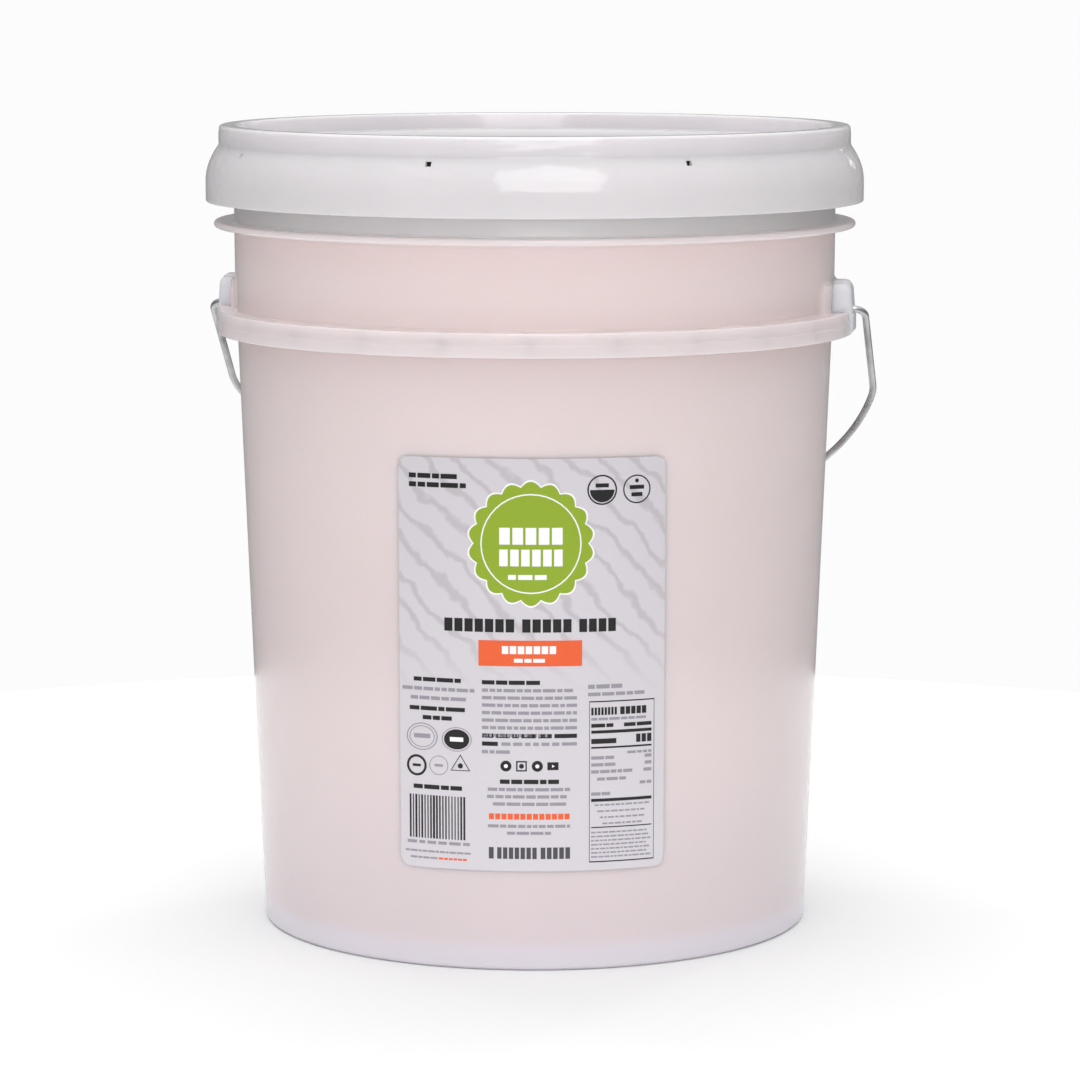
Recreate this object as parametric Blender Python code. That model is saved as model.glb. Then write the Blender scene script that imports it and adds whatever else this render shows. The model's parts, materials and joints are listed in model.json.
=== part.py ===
"""Round plastic pail of 18.9 litres, shut by a press-down lid, with a label and a wire bail.

Metres, +Z up. The origin is the centre of the foot ring, on the floor. The two ears that
hold the bail lie on the X axis. The front is -Y, and the label sits a little right of it.
The bail hangs down behind the pail and leans on its wall.
"""

from math import asin
from math import cos
from math import radians
from math import sin
from math import sqrt

import bmesh
import bpy
from mathutils import Matrix

MM = 0.001

# Steps round the turned pieces, round each arc of an outline, and round a bored hole.
ROUND_STEPS = 72
ARC_STEPS = 3
ROD_SIDES = 16

# Pail wall: a cone from the foot to the skirt ring, nearly straight above it.
WALL_RADIUS_AT_FLOOR = 129.35 * MM
WALL_TAPER = 0.0391
NECK_RADIUS_LOW = 141.2 * MM
NECK_RADIUS_HIGH = 141.5 * MM
PAIL_TOP_Z = 366.2 * MM
FOOT_EDGE_RADIUS = 2.6 * MM
FOOT_RING_WIDTH = 5.0 * MM
BASE_RECESS = 10.0 * MM
BASE_BEAD_RADIUS = 58.5 * MM
BASE_BEAD_HALF_WIDTH = 1.6 * MM
BASE_BEAD_DROP = 2.0 * MM

# Skirt ring that stiffens the pail and carries the ears: a shelf with a hanging wall.
SKIRT_RADIUS = 150.2 * MM
SKIRT_Z_LOW = 280.0 * MM
SKIRT_Z_HIGH = 291.0 * MM
SKIRT_THICKNESS = 2.0 * MM
SHELF_THICKNESS = 2.4 * MM
SKIRT_EDGE = 0.9 * MM
GUSSET_COUNT = 24
GUSSET_THICKNESS = 1.6 * MM
GUSSET_RISE = 1.5 * MM

# Thin ring between the skirt ring and the lid.
UPPER_RING_RADIUS = 151.0 * MM
UPPER_RING_Z_LOW = 329.4 * MM
UPPER_RING_Z_HIGH = 332.5 * MM

# Bead at the pail's mouth, which the lid is pressed over.
MOUTH_BEAD_RADIUS = 146.8 * MM
MOUTH_BEAD_HEIGHT = 8.0 * MM

# Ears, each on a thin pad that thickens the wall behind it.
EAR_RADIUS = 150.0 * MM
EAR_HALF_WIDTH = 11.0 * MM
EAR_FLARE = 1.9
EAR_DRAFT = 0.07
EAR_TOP_Z = 305.5 * MM
EAR_CROWN = 1.3 * MM
EAR_CORNER = 4.0 * MM
EAR_EDGE = 3.2 * MM
EAR_FOOT_RADIUS = 151.5 * MM
EAR_FOOT_EDGE = 2.6 * MM
EAR_FOOT_TOP_DROP = 0.3 * MM
EAR_ROOT_RADIUS = 138.5 * MM
PAD_HALF_WIDTH = 32.0 * MM
PAD_RADIUS = 143.3 * MM
PAD_TOP_Z = 306.0 * MM
PAD_CORNER = 7.0 * MM
PAD_STEPS = 9

# Lid: a panel sunk in a raised rim, a sloping shoulder and a straight skirt.
FIT_GAP = 0.3 * MM
LID_PANEL_Z = 369.0 * MM
LID_TOP_Z = 377.0 * MM
LID_RIM_INNER_RADIUS = 139.6 * MM
LID_RIM_DRAFT = 1.4 * MM
LID_RIM_RADIUS = 148.5 * MM
LID_RIM_EDGE = 3.0 * MM
LID_RIM_INNER_EDGE = 1.3 * MM
LID_SKIRT_RADIUS = 154.7 * MM
LID_SKIRT_Z_LOW = 341.5 * MM
LID_SKIRT_Z_HIGH = 351.0 * MM
LID_SHOULDER_RADIUS = 149.9 * MM
LID_SHOULDER_Z = 366.2 * MM
LID_SHOULDER_POWER = 2.3
LID_WALL = 2.3 * MM
LID_EDGE = 0.6 * MM
LID_INNER_RADIUS = 147.9 * MM
LID_INNER_STEP_Z = 362.8 * MM
SLOT_COUNT = 8
SLOT_FIRST_ANGLE = radians(-9.6)
SLOT_WIDTH = 2.7 * MM
SLOT_Z_LOW = 363.9 * MM
SLOT_Z_HIGH = 366.0 * MM

# Label, a sheet wrapped on the cone of the wall.
LABEL_ANGLE = radians(7.9)
LABEL_WIDTH = 123.2 * MM
LABEL_Z_LOW = 46.5 * MM
LABEL_Z_HIGH = 234.5 * MM
LABEL_CORNER = 5.0 * MM
LABEL_THICKNESS = 0.3 * MM
LABEL_STEPS = 16

# Bail: a wire loop from ear to ear. Its widths are half widths from the middle, and its
# drops are measured from the pivot axis, in the plane of the loop.
PIVOT_Z = 291.6 * MM
PIVOT_HOLE_RADIUS = 2.1 * MM
PIVOT_HOLE_END = 142.5 * MM
WIRE_RADIUS = 1.65 * MM
WIRE_END = 143.2 * MM
BAIL_LEG_TOP = 156.2 * MM
BAIL_LEG_END = 157.0 * MM
BAIL_KNEE_CUT = 4.7 * MM
BAIL_BEND = 6.0 * MM
BAIL_BEND_STEPS = 6
BAIL_BOW_RADIUS = 160.8 * MM
BAIL_BOW_DROP = 31.8 * MM
BAIL_BOW_STEPS = 30
BAIL_LEAN = radians(49.7)

# Moulded grip, bowed like the wire that runs through it.
GRIP_LENGTH = 96.0 * MM
GRIP_RADIUS = 10.4 * MM
GRIP_WAIST_RADIUS = 9.5 * MM
GRIP_COLLAR = 7.0 * MM
GRIP_EDGE = 1.2 * MM
GRIP_STEPS = 14
GRIP_SIDES = 16


def clear_scene():
    for item in list(bpy.data.objects):
        bpy.data.objects.remove(item, do_unlink=True)


def plastic_or_metal(name, colour, roughness, metallic=0.0):
    material = bpy.data.materials.new(name)
    material.use_nodes = True
    shader = material.node_tree.nodes["Principled BSDF"]
    shader.inputs["Base Color"].default_value = (*colour, 1.0)
    shader.inputs["Roughness"].default_value = roughness
    shader.inputs["Metallic"].default_value = metallic
    return material


def add_object(name, data, collection, material=None):
    if material:
        data.materials.append(material)
    item = bpy.data.objects.new(name, data)
    collection.objects.link(item)
    return item


def mesh_object(name, bm, collection, material=None, sharp_angle=35.0):
    """Turn a bmesh into an object, faces out, shaded smooth between its sharp edges."""
    bmesh.ops.recalc_face_normals(bm, faces=bm.faces)
    mesh = bpy.data.meshes.new(name)
    bm.to_mesh(mesh)
    bm.free()
    mesh.shade_smooth()
    mesh.set_sharp_from_angle(angle=radians(sharp_angle))
    return add_object(name, mesh, collection, material)


def hide_helper(item):
    item.hide_render = True
    item.display_type = "WIRE"


def helper_collection(name):
    collection = bpy.data.collections.new(name)
    bpy.context.scene.collection.children.link(collection)
    return collection


def use_boolean(item, operation, collection):
    modifier = item.modifiers.new(operation.title(), "BOOLEAN")
    modifier.operation = operation
    modifier.operand_type = "COLLECTION"
    modifier.collection = collection


def arc(centre, radius, start, end, steps=ARC_STEPS):
    """Points on an arc in a plane, from one angle in degrees to another."""
    points = []
    for step in range(steps + 1):
        angle = radians(start + (end - start) * step / steps)
        points.append((centre[0] + radius * cos(angle), centre[1] + radius * sin(angle)))
    return points


def wall_radius(z):
    return WALL_RADIUS_AT_FLOOR + WALL_TAPER * z


def turned(name, profile, collection, material):
    """Spin an outline of (radius, height) points, which starts and ends on the axis."""
    bm = bmesh.new()
    verts = [bm.verts.new((radius, 0.0, z)) for radius, z in profile]
    edges = [bm.edges.new(pair) for pair in zip(verts, verts[1:])]
    bmesh.ops.spin(
        bm,
        geom=verts + edges,
        axis=(0.0, 0.0, 1.0),
        cent=(0.0, 0.0, 0.0),
        angle=radians(360.0),
        steps=ROUND_STEPS,
        use_merge=True,
    )
    bmesh.ops.remove_doubles(bm, verts=bm.verts, dist=0.001 * MM)
    return mesh_object(name, bm, collection, material)


def block(name, low, high, turn, collection):
    """A box between two corners, turned about the pail's axis."""
    bm = bmesh.new()
    bmesh.ops.create_cube(bm, size=1.0)
    size = [b - a for a, b in zip(low, high)]
    middle = [(a + b) / 2 for a, b in zip(low, high)]
    bmesh.ops.scale(bm, verts=bm.verts, vec=size)
    bmesh.ops.translate(bm, verts=bm.verts, vec=middle)
    bmesh.ops.rotate(bm, verts=bm.verts, matrix=Matrix.Rotation(turn, 3, "Z"))
    item = mesh_object(name, bm, collection)
    hide_helper(item)
    return item


def extruded_along_x(name, outline, x_low, x_high, edge, turn, collection, flare=1.0, draft=0.0):
    """An outline in Y and Z drawn out along X, with the rim of its outer face rounded.

    flare widens its root, and draft leans its outer face out towards the bottom.
    """
    top = max(z for y, z in outline)
    bm = bmesh.new()
    face = bm.faces.new([bm.verts.new((x_low, y * flare, z)) for y, z in outline])
    result = bmesh.ops.extrude_face_region(bm, geom=[face])
    moved = [part for part in result["geom"] if isinstance(part, bmesh.types.BMVert)]
    for vert in moved:
        vert.co = (x_high + draft * (top - vert.co.z), vert.co.y / flare, vert.co.z)
    rim = [link for link in bm.edges if all(vert in moved for vert in link.verts)]
    bmesh.ops.bevel(
        bm,
        geom=rim,
        offset=edge,
        offset_type="OFFSET",
        segments=ARC_STEPS,
        profile=0.5,
        affect="EDGES",
        clamp_overlap=True,
    )
    bmesh.ops.triangulate(bm, faces=bm.faces)
    bmesh.ops.rotate(bm, verts=bm.verts, matrix=Matrix.Rotation(turn, 3, "Z"))
    item = mesh_object(name, bm, collection)
    hide_helper(item)
    return item


def wrapped_plate(name, sizes, steps, inner, outer, turn, collection, material=None):
    """A plate bent round the axis. inner and outer give its two radii at a height.

    sizes are its half width, low and high ends, and the radii of its low and high corners.
    """
    half_width, z_low, z_high, corner_low, corner_high = sizes
    corner = max(corner_low, corner_high)
    edge_offsets = [corner * (1.0 - cos(radians(90.0 * step / ARC_STEPS))) for step in range(ARC_STEPS)]
    inner_width = 2.0 * (half_width - corner)
    middle = [corner - half_width + inner_width * step / steps for step in range(steps + 1)]
    places = [offset - half_width for offset in edge_offsets] + middle
    places += [half_width - offset for offset in reversed(edge_offsets)]
    bm = bmesh.new()
    sections = []
    for place in places:
        from_edge = half_width - abs(place)
        low = z_low + corner_rise(from_edge, corner_low)
        high = z_high - corner_rise(from_edge, corner_high)
        section = []
        for radius_at, z in ((inner, low), (outer, low), (outer, high), (inner, high)):
            radius = radius_at(z)
            angle = place / outer(z) + turn
            section.append(bm.verts.new((radius * cos(angle), radius * sin(angle), z)))
        sections.append(section)
    for before, after in zip(sections, sections[1:]):
        for side in range(4):
            other = (side + 1) % 4
            bm.faces.new((before[side], before[other], after[other], after[side]))
    bm.faces.new(sections[0])
    bm.faces.new(sections[-1])
    bmesh.ops.triangulate(bm, faces=bm.faces)
    return mesh_object(name, bm, collection, material)


def corner_rise(from_edge, radius):
    """How far a rounded corner rises from the straight edge, at a distance from the end."""
    reach = max(radius - from_edge, 0.0)
    return radius - sqrt(max(radius * radius - reach * reach, 0.0))


def pail_profile():
    foot_outer = wall_radius(FOOT_EDGE_RADIUS)
    foot_inner = foot_outer - FOOT_EDGE_RADIUS - FOOT_RING_WIDTH
    bead_low = BASE_RECESS - BASE_BEAD_DROP
    bead_slope = 0.8 * MM
    skirt_inner = SKIRT_RADIUS - SKIRT_THICKNESS
    shelf_z = SKIRT_Z_HIGH - SHELF_THICKNESS
    ring_half = (UPPER_RING_Z_HIGH - UPPER_RING_Z_LOW) / 2
    ring_middle = (UPPER_RING_Z_HIGH + UPPER_RING_Z_LOW) / 2
    bead_z = PAIL_TOP_Z - MOUTH_BEAD_HEIGHT
    small = 1.0 * MM
    points = [
        (0.0, BASE_RECESS),
        (BASE_BEAD_RADIUS - BASE_BEAD_HALF_WIDTH - bead_slope, BASE_RECESS),
        (BASE_BEAD_RADIUS - BASE_BEAD_HALF_WIDTH, bead_low),
        (BASE_BEAD_RADIUS + BASE_BEAD_HALF_WIDTH, bead_low),
        (BASE_BEAD_RADIUS + BASE_BEAD_HALF_WIDTH + bead_slope, BASE_RECESS),
        (foot_inner - 2 * small, BASE_RECESS),
        (foot_inner, 0.0),
    ]
    points += arc((foot_outer - FOOT_EDGE_RADIUS, FOOT_EDGE_RADIUS), FOOT_EDGE_RADIUS, -90.0, 0.0)
    points += [
        (wall_radius(shelf_z), shelf_z),
        (skirt_inner, shelf_z),
        (skirt_inner, SKIRT_Z_LOW),
    ]
    points += arc((SKIRT_RADIUS - SKIRT_EDGE / 2, SKIRT_Z_LOW + SKIRT_EDGE / 2), SKIRT_EDGE / 2, -90.0, 0.0, 2)
    points += arc((SKIRT_RADIUS - SKIRT_EDGE, SKIRT_Z_HIGH - SKIRT_EDGE), SKIRT_EDGE, 0.0, 90.0)
    points += [
        (NECK_RADIUS_LOW + small, SKIRT_Z_HIGH),
        (NECK_RADIUS_LOW, SKIRT_Z_HIGH + small),
        (NECK_RADIUS_HIGH, UPPER_RING_Z_LOW - small),
        (NECK_RADIUS_HIGH + small, UPPER_RING_Z_LOW),
    ]
    points += arc((UPPER_RING_RADIUS - ring_half, ring_middle), ring_half, -90.0, 90.0, 4)
    points += [
        (NECK_RADIUS_HIGH + small, UPPER_RING_Z_HIGH),
        (NECK_RADIUS_HIGH, UPPER_RING_Z_HIGH + small),
        (NECK_RADIUS_HIGH, bead_z - small),
        (MOUTH_BEAD_RADIUS - small, bead_z),
    ]
    points += arc((MOUTH_BEAD_RADIUS - small, bead_z + small), small, -90.0, 0.0, 2)[1:]
    points += arc((MOUTH_BEAD_RADIUS - small, PAIL_TOP_Z - small), small, 0.0, 90.0, 2)
    points.append((0.0, PAIL_TOP_Z))
    return points


def ear_outline():
    """Front view of an ear: straight sides, round corners and a slightly crowned top."""
    corner_z = EAR_TOP_Z - EAR_CROWN - EAR_CORNER
    corner_y = EAR_HALF_WIDTH - EAR_CORNER
    bottom = SKIRT_Z_HIGH - SHELF_THICKNESS - 1.0 * MM
    outline = [(-EAR_HALF_WIDTH, bottom), (EAR_HALF_WIDTH, bottom)]
    outline += arc((corner_y, corner_z), EAR_CORNER, 0.0, 90.0)
    outline.append((0.0, EAR_TOP_Z))
    outline += arc((-corner_y, corner_z), EAR_CORNER, 90.0, 180.0)
    return outline


def ear_foot_outline():
    top = SKIRT_Z_HIGH - EAR_FOOT_TOP_DROP
    bottom = SKIRT_Z_LOW + EAR_FOOT_TOP_DROP
    return [
        (-EAR_HALF_WIDTH, bottom),
        (EAR_HALF_WIDTH, bottom),
        (EAR_HALF_WIDTH, top),
        (-EAR_HALF_WIDTH, top),
    ]


def add_rod(name, radius, x_low, x_high, side, collection):
    """A round helper on the bail's axis, from one distance from the pail's axis to another."""
    bm = bmesh.new()
    bmesh.ops.create_cone(
        bm,
        cap_ends=True,
        segments=ROD_SIDES,
        radius1=radius,
        radius2=radius,
        depth=x_high - x_low,
    )
    bmesh.ops.rotate(bm, verts=bm.verts, matrix=Matrix.Rotation(radians(90.0), 3, "Y"))
    item = mesh_object(name, bm, collection)
    item.location = (side * (x_low + x_high) / 2, 0.0, PIVOT_Z)
    hide_helper(item)


def add_pail(collection, material):
    pail = turned("pail", pail_profile(), collection, material)
    fused = helper_collection("pail_fused_shapes")
    holes = helper_collection("pail_holes")
    for side, turn in ((1, 0.0), (-1, radians(180.0))):
        tag = "right" if side > 0 else "left"
        extruded_along_x(
            "ear_" + tag, ear_outline(), EAR_ROOT_RADIUS, EAR_RADIUS, EAR_EDGE, turn, fused, EAR_FLARE, EAR_DRAFT
        )
        extruded_along_x(
            "ear_foot_" + tag, ear_foot_outline(), EAR_ROOT_RADIUS, EAR_FOOT_RADIUS, EAR_FOOT_EDGE, turn, fused
        )
        pad = wrapped_plate(
            "ear_pad_" + tag,
            (PAD_HALF_WIDTH, SKIRT_Z_HIGH - SKIRT_EDGE, PAD_TOP_Z, 0.0, PAD_CORNER),
            PAD_STEPS,
            lambda z: NECK_RADIUS_LOW - 1.0 * MM,
            lambda z: PAD_RADIUS,
            turn,
            fused,
        )
        hide_helper(pad)
        add_rod("pivot_hole_" + tag, PIVOT_HOLE_RADIUS, PIVOT_HOLE_END, BAIL_LEG_TOP, side, holes)
    for number in range(GUSSET_COUNT):
        turn = radians(360.0 * (number + 0.5) / GUSSET_COUNT)
        low = (
            NECK_RADIUS_LOW - 2.0 * MM,
            -GUSSET_THICKNESS / 2,
            SKIRT_Z_LOW + GUSSET_RISE,
        )
        high = (
            SKIRT_RADIUS - SKIRT_THICKNESS / 2,
            GUSSET_THICKNESS / 2,
            SKIRT_Z_HIGH - SHELF_THICKNESS / 2,
        )
        block("gusset_%02d" % number, low, high, turn, fused)
    use_boolean(pail, "UNION", fused)
    use_boolean(pail, "DIFFERENCE", holes)


def lid_profile():
    """Down the outside from the middle of the panel, and back up the inside."""
    rim_foot = LID_RIM_INNER_RADIUS - LID_RIM_DRAFT
    underside = PAIL_TOP_Z + FIT_GAP
    slope_radius = LID_SKIRT_RADIUS - LID_SHOULDER_RADIUS
    slope_height = LID_SHOULDER_Z - LID_SKIRT_Z_HIGH
    inner_edge = LID_RIM_INNER_EDGE
    points = [
        (0.0, LID_PANEL_Z),
        (rim_foot - inner_edge, LID_PANEL_Z),
        (rim_foot, LID_PANEL_Z + inner_edge),
    ]
    points += arc((LID_RIM_INNER_RADIUS + inner_edge, LID_TOP_Z - inner_edge), inner_edge, 180.0, 90.0, 2)
    points += arc((LID_RIM_RADIUS - LID_RIM_EDGE, LID_TOP_Z - LID_RIM_EDGE), LID_RIM_EDGE, 90.0, 0.0)
    points += [(LID_RIM_RADIUS, LID_SHOULDER_Z + 2 * MM), (LID_SHOULDER_RADIUS, LID_SHOULDER_Z)]
    for step in range(1, 6):
        angle = radians(90.0 * (1.0 - step / 5.0))
        radius = LID_SHOULDER_RADIUS + slope_radius * cos(angle) ** LID_SHOULDER_POWER
        points.append((radius, LID_SKIRT_Z_HIGH + slope_height * sin(angle)))
    points += arc((LID_SKIRT_RADIUS - LID_EDGE, LID_SKIRT_Z_LOW + LID_EDGE), LID_EDGE, 0.0, -90.0, 2)
    inner_skirt = LID_SKIRT_RADIUS - LID_WALL
    points += [
        (inner_skirt + LID_EDGE, LID_SKIRT_Z_LOW),
        (inner_skirt, LID_SKIRT_Z_LOW + LID_EDGE),
        (inner_skirt, LID_SKIRT_Z_HIGH),
        ((inner_skirt + LID_INNER_RADIUS) / 2 + 0.8 * MM, (LID_SKIRT_Z_HIGH + LID_INNER_STEP_Z) / 2),
        (LID_INNER_RADIUS, LID_INNER_STEP_Z),
        (LID_INNER_RADIUS, underside),
        (0.0, underside),
    ]
    return points


def add_lid(collection, material):
    lid = turned("lid", lid_profile(), collection, material)
    slots = helper_collection("lid_slots")
    for number in range(SLOT_COUNT):
        turn = SLOT_FIRST_ANGLE + radians(360.0 * number / SLOT_COUNT - 90.0)
        low = (LID_INNER_RADIUS - 0.5 * MM, -SLOT_WIDTH / 2, SLOT_Z_LOW)
        high = (LID_SKIRT_RADIUS, SLOT_WIDTH / 2, SLOT_Z_HIGH)
        block("slot_%d" % number, low, high, turn, slots)
    use_boolean(lid, "DIFFERENCE", slots)


def add_label(collection, material):
    wrapped_plate(
        "label",
        (LABEL_WIDTH / 2, LABEL_Z_LOW, LABEL_Z_HIGH, LABEL_CORNER, LABEL_CORNER),
        LABEL_STEPS,
        lambda z: wall_radius(z) + FIT_GAP,
        lambda z: wall_radius(z) + FIT_GAP + LABEL_THICKNESS,
        LABEL_ANGLE - radians(90.0),
        collection,
        material,
    )


def bail_half():
    """Points of (width, drop) along one half of the loop, from its end to its lowest point."""
    points = [(WIRE_END, 0.0)]
    points += arc((BAIL_LEG_TOP - BAIL_BEND, BAIL_BEND), BAIL_BEND, -90.0, 0.0, BAIL_BEND_STEPS)
    bow_start = asin(BAIL_LEG_END / BAIL_BOW_RADIUS)
    knee = BAIL_BOW_DROP + BAIL_BOW_RADIUS * cos(bow_start)
    splay = (BAIL_LEG_END - BAIL_LEG_TOP) / (knee - BAIL_BEND)
    points.append((BAIL_LEG_END - splay * BAIL_KNEE_CUT, knee - BAIL_KNEE_CUT))
    bow_start -= BAIL_KNEE_CUT / BAIL_BOW_RADIUS
    for step in range(BAIL_BOW_STEPS // 2 + 1):
        angle = bow_start * (1.0 - 2.0 * step / BAIL_BOW_STEPS)
        points.append((BAIL_BOW_RADIUS * sin(angle), BAIL_BOW_DROP + BAIL_BOW_RADIUS * cos(angle)))
    return points


def add_bail(pivot, collection, material):
    half = bail_half()
    other_half = [(-width, drop) for width, drop in reversed(half[:-1])]
    route = half + other_half
    curve = bpy.data.curves.new("bail", "CURVE")
    curve.dimensions = "3D"
    curve.bevel_depth = WIRE_RADIUS
    curve.bevel_resolution = 3
    curve.use_fill_caps = True
    spline = curve.splines.new("POLY")
    spline.points.add(len(route) - 1)
    for point, (width, drop) in zip(spline.points, route):
        point.co = (width, 0.0, -drop, 1.0)
    spline.use_smooth = True
    bail = add_object("bail", curve, collection, material)
    bail.parent = pivot


def grip_sections():
    """Places along the grip, as (distance from the middle, radius)."""
    half = GRIP_LENGTH / 2
    waist_half = half - GRIP_COLLAR
    sections = [(-half, GRIP_RADIUS - GRIP_EDGE), (-half + GRIP_EDGE, GRIP_RADIUS)]
    sections += [(-waist_half, GRIP_RADIUS), (-waist_half + GRIP_EDGE, GRIP_WAIST_RADIUS)]
    reach = waist_half - GRIP_EDGE
    for step in range(1, GRIP_STEPS):
        place = -reach + 2.0 * reach * step / GRIP_STEPS
        swell = (GRIP_RADIUS - GRIP_WAIST_RADIUS) * (1.0 - (place / reach) ** 2)
        sections.append((place, GRIP_WAIST_RADIUS + swell))
    ends = [(-place, radius) for place, radius in reversed(sections[:4])]
    return sections + ends


def add_grip(pivot, collection, material):
    """Rings of points outside and in the bore, set along the bow of the wire."""
    bore = WIRE_RADIUS + FIT_GAP
    bm = bmesh.new()
    rings = []
    outside = grip_sections()
    inside = [(place, bore) for place, radius in reversed(outside)]
    for place, radius in outside + inside:
        bow = place / BAIL_BOW_RADIUS
        ring = []
        for side in range(GRIP_SIDES):
            angle = radians(360.0 * side / GRIP_SIDES)
            reach = BAIL_BOW_RADIUS + radius * cos(angle)
            drop = BAIL_BOW_DROP + reach * cos(bow)
            ring.append(bm.verts.new((reach * sin(bow), radius * sin(angle), -drop)))
        rings.append(ring)
    for number, ring in enumerate(rings):
        after = rings[(number + 1) % len(rings)]
        for side in range(GRIP_SIDES):
            other = (side + 1) % GRIP_SIDES
            bm.faces.new((ring[side], ring[other], after[other], after[side]))
    grip = mesh_object("grip", bm, collection, material)
    grip.parent = pivot


def build():
    clear_scene()
    collection = bpy.context.scene.collection
    pail_plastic = plastic_or_metal("natural_polyethylene", (0.75, 0.66, 0.64), 0.35)
    lid_plastic = plastic_or_metal("white_polyethylene", (0.80, 0.79, 0.80), 0.35)
    label_film = plastic_or_metal("label_film", (0.76, 0.74, 0.80), 0.5)
    wire_metal = plastic_or_metal("zinc_plated_wire", (0.62, 0.62, 0.62), 0.3, 1.0)
    grip_plastic = plastic_or_metal("grip_polyethylene", (0.85, 0.85, 0.85), 0.45)
    add_pail(collection, pail_plastic)
    add_lid(collection, lid_plastic)
    add_label(collection, label_film)
    pivot = add_object("bail_pivot", None, collection)
    pivot.location = (0.0, 0.0, PIVOT_Z)
    pivot.rotation_euler = (BAIL_LEAN, 0.0, 0.0)
    add_bail(pivot, collection, wire_metal)
    add_grip(pivot, collection, grip_plastic)


build()
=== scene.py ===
"""A shut 18.9 litre pail of syrup: natural plastic pail, white lid, film label, wire bail."""

import json
import random
from math import asin, atan, cos, degrees, hypot, pi, radians, sin

import bmesh
import bpy
from mathutils import Matrix, Vector

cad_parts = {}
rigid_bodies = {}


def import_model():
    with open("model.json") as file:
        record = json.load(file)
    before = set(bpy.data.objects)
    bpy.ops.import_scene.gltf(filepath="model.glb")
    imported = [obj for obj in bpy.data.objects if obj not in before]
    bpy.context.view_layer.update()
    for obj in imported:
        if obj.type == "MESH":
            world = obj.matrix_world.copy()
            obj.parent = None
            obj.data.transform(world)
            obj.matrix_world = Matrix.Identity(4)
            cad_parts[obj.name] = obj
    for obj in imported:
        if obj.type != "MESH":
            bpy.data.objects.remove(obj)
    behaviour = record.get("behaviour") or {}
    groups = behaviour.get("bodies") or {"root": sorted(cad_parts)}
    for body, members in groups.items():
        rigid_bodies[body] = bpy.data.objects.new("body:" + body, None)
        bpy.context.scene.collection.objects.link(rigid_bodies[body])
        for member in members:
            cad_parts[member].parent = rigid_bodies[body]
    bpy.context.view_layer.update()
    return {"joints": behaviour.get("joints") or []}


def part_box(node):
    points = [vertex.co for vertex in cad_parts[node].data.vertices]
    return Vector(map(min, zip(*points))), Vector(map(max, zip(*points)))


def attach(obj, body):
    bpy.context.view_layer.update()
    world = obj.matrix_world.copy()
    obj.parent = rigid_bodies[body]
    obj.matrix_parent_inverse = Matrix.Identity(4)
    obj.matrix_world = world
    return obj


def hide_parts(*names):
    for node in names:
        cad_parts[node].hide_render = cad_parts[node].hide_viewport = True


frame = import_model()

# Pail. It is injection moulded in one shot from natural high-density polyethylene, a milky
# plastic that takes the warm tint of the syrup behind it. The wall tapers so that empty
# pails nest, and two rings stiffen it: a hanging skirt low down, a thin flange above.

MM = 0.001
pail_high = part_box("pail")[1]

WALL_RADIUS_AT_FLOOR = 129.35 * MM
WALL_TAPER = 0.0391
NECK_RADIUS_LOW = 141.2 * MM
NECK_RADIUS_HIGH = 141.5 * MM
FOOT_EDGE = 2.6 * MM
FOOT_WIDTH = 5.0 * MM
BASE_RECESS = 10.0 * MM
BASE_SLOPE = 1.0 * MM
BASE_GATE_RADIUS = 4.0 * MM
BASE_GATE_DROP = 1.2 * MM
BASE_BEAD_INNER = 57.0 * MM
BASE_BEAD_OUTER = 60.0 * MM
BASE_BEAD_DROP = 2.0 * MM
SKIRT_RADIUS = 150.2 * MM
SKIRT_LOW = 280.0 * MM
SKIRT_HIGH = 291.0 * MM
SKIRT_WALL = 2.0 * MM
SKIRT_EDGE = 0.9 * MM
SKIRT_STEP = 0.12 * MM
SKIRT_STEP_HEIGHT = 285.4 * MM
SHELF_WALL = 2.4 * MM
FLANGE_RADIUS = 151.0 * MM
FLANGE_LOW = 329.4 * MM
FLANGE_HIGH = 332.5 * MM
MOUTH_RADIUS = 146.8 * MM
MOUTH_HEIGHT = 8.0 * MM
MOULD_FILLET = 1.0 * MM

PAD_HALF_WIDTH = 32.0 * MM
PAD_TOP = 306.0 * MM
PAD_PROUD = 2.0 * MM
PAD_CORNER = 7.0 * MM
PAD_SOFT = 2.4 * MM

ARC_STEPS = 8
WALL_ROWS = 40
NECK_ROWS = 28
SMOOTH_ANGLE = radians(40.0)


def wall_radius(z):
    """Outer radius of the tapered wall at a height."""
    return WALL_RADIUS_AT_FLOOR + WALL_TAPER * z


def arc(centre, radius, start, end, steps=ARC_STEPS):
    """Points on an arc from one angle in degrees to another."""
    points = []
    for step in range(steps + 1):
        angle = radians(start + (end - start) * step / steps)
        points.append((centre[0] + radius * cos(angle), centre[1] + radius * sin(angle)))
    return points


def turned_mesh(name, outline, angles, rise=None, closed=False):
    """Spin an outline of (radius, height) points round the pail's axis.

    It runs from pole to pole, or is closed on itself. rise gives how far a point stands out.
    """
    verts = []
    faces = []
    rows = []
    for radius, z in outline:
        first = len(verts)
        if radius == 0.0:
            verts.append((0.0, 0.0, z))
            rows.append([first] * len(angles))
            continue
        for angle in angles:
            out = radius + (rise(angle, radius, z) if rise else 0.0)
            verts.append((out * cos(angle), out * sin(angle), z))
        rows.append(range(first, first + len(angles)))
    if closed:
        rows.append(rows[0])
    for low, high in zip(rows, rows[1:]):
        for here in range(len(angles)):
            after = (here + 1) % len(angles)
            faces.append(tuple(dict.fromkeys((low[here], low[after], high[after], high[here]))))
    mesh = bpy.data.meshes.new(name)
    mesh.from_pydata(verts, [], faces)
    return mesh


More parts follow.
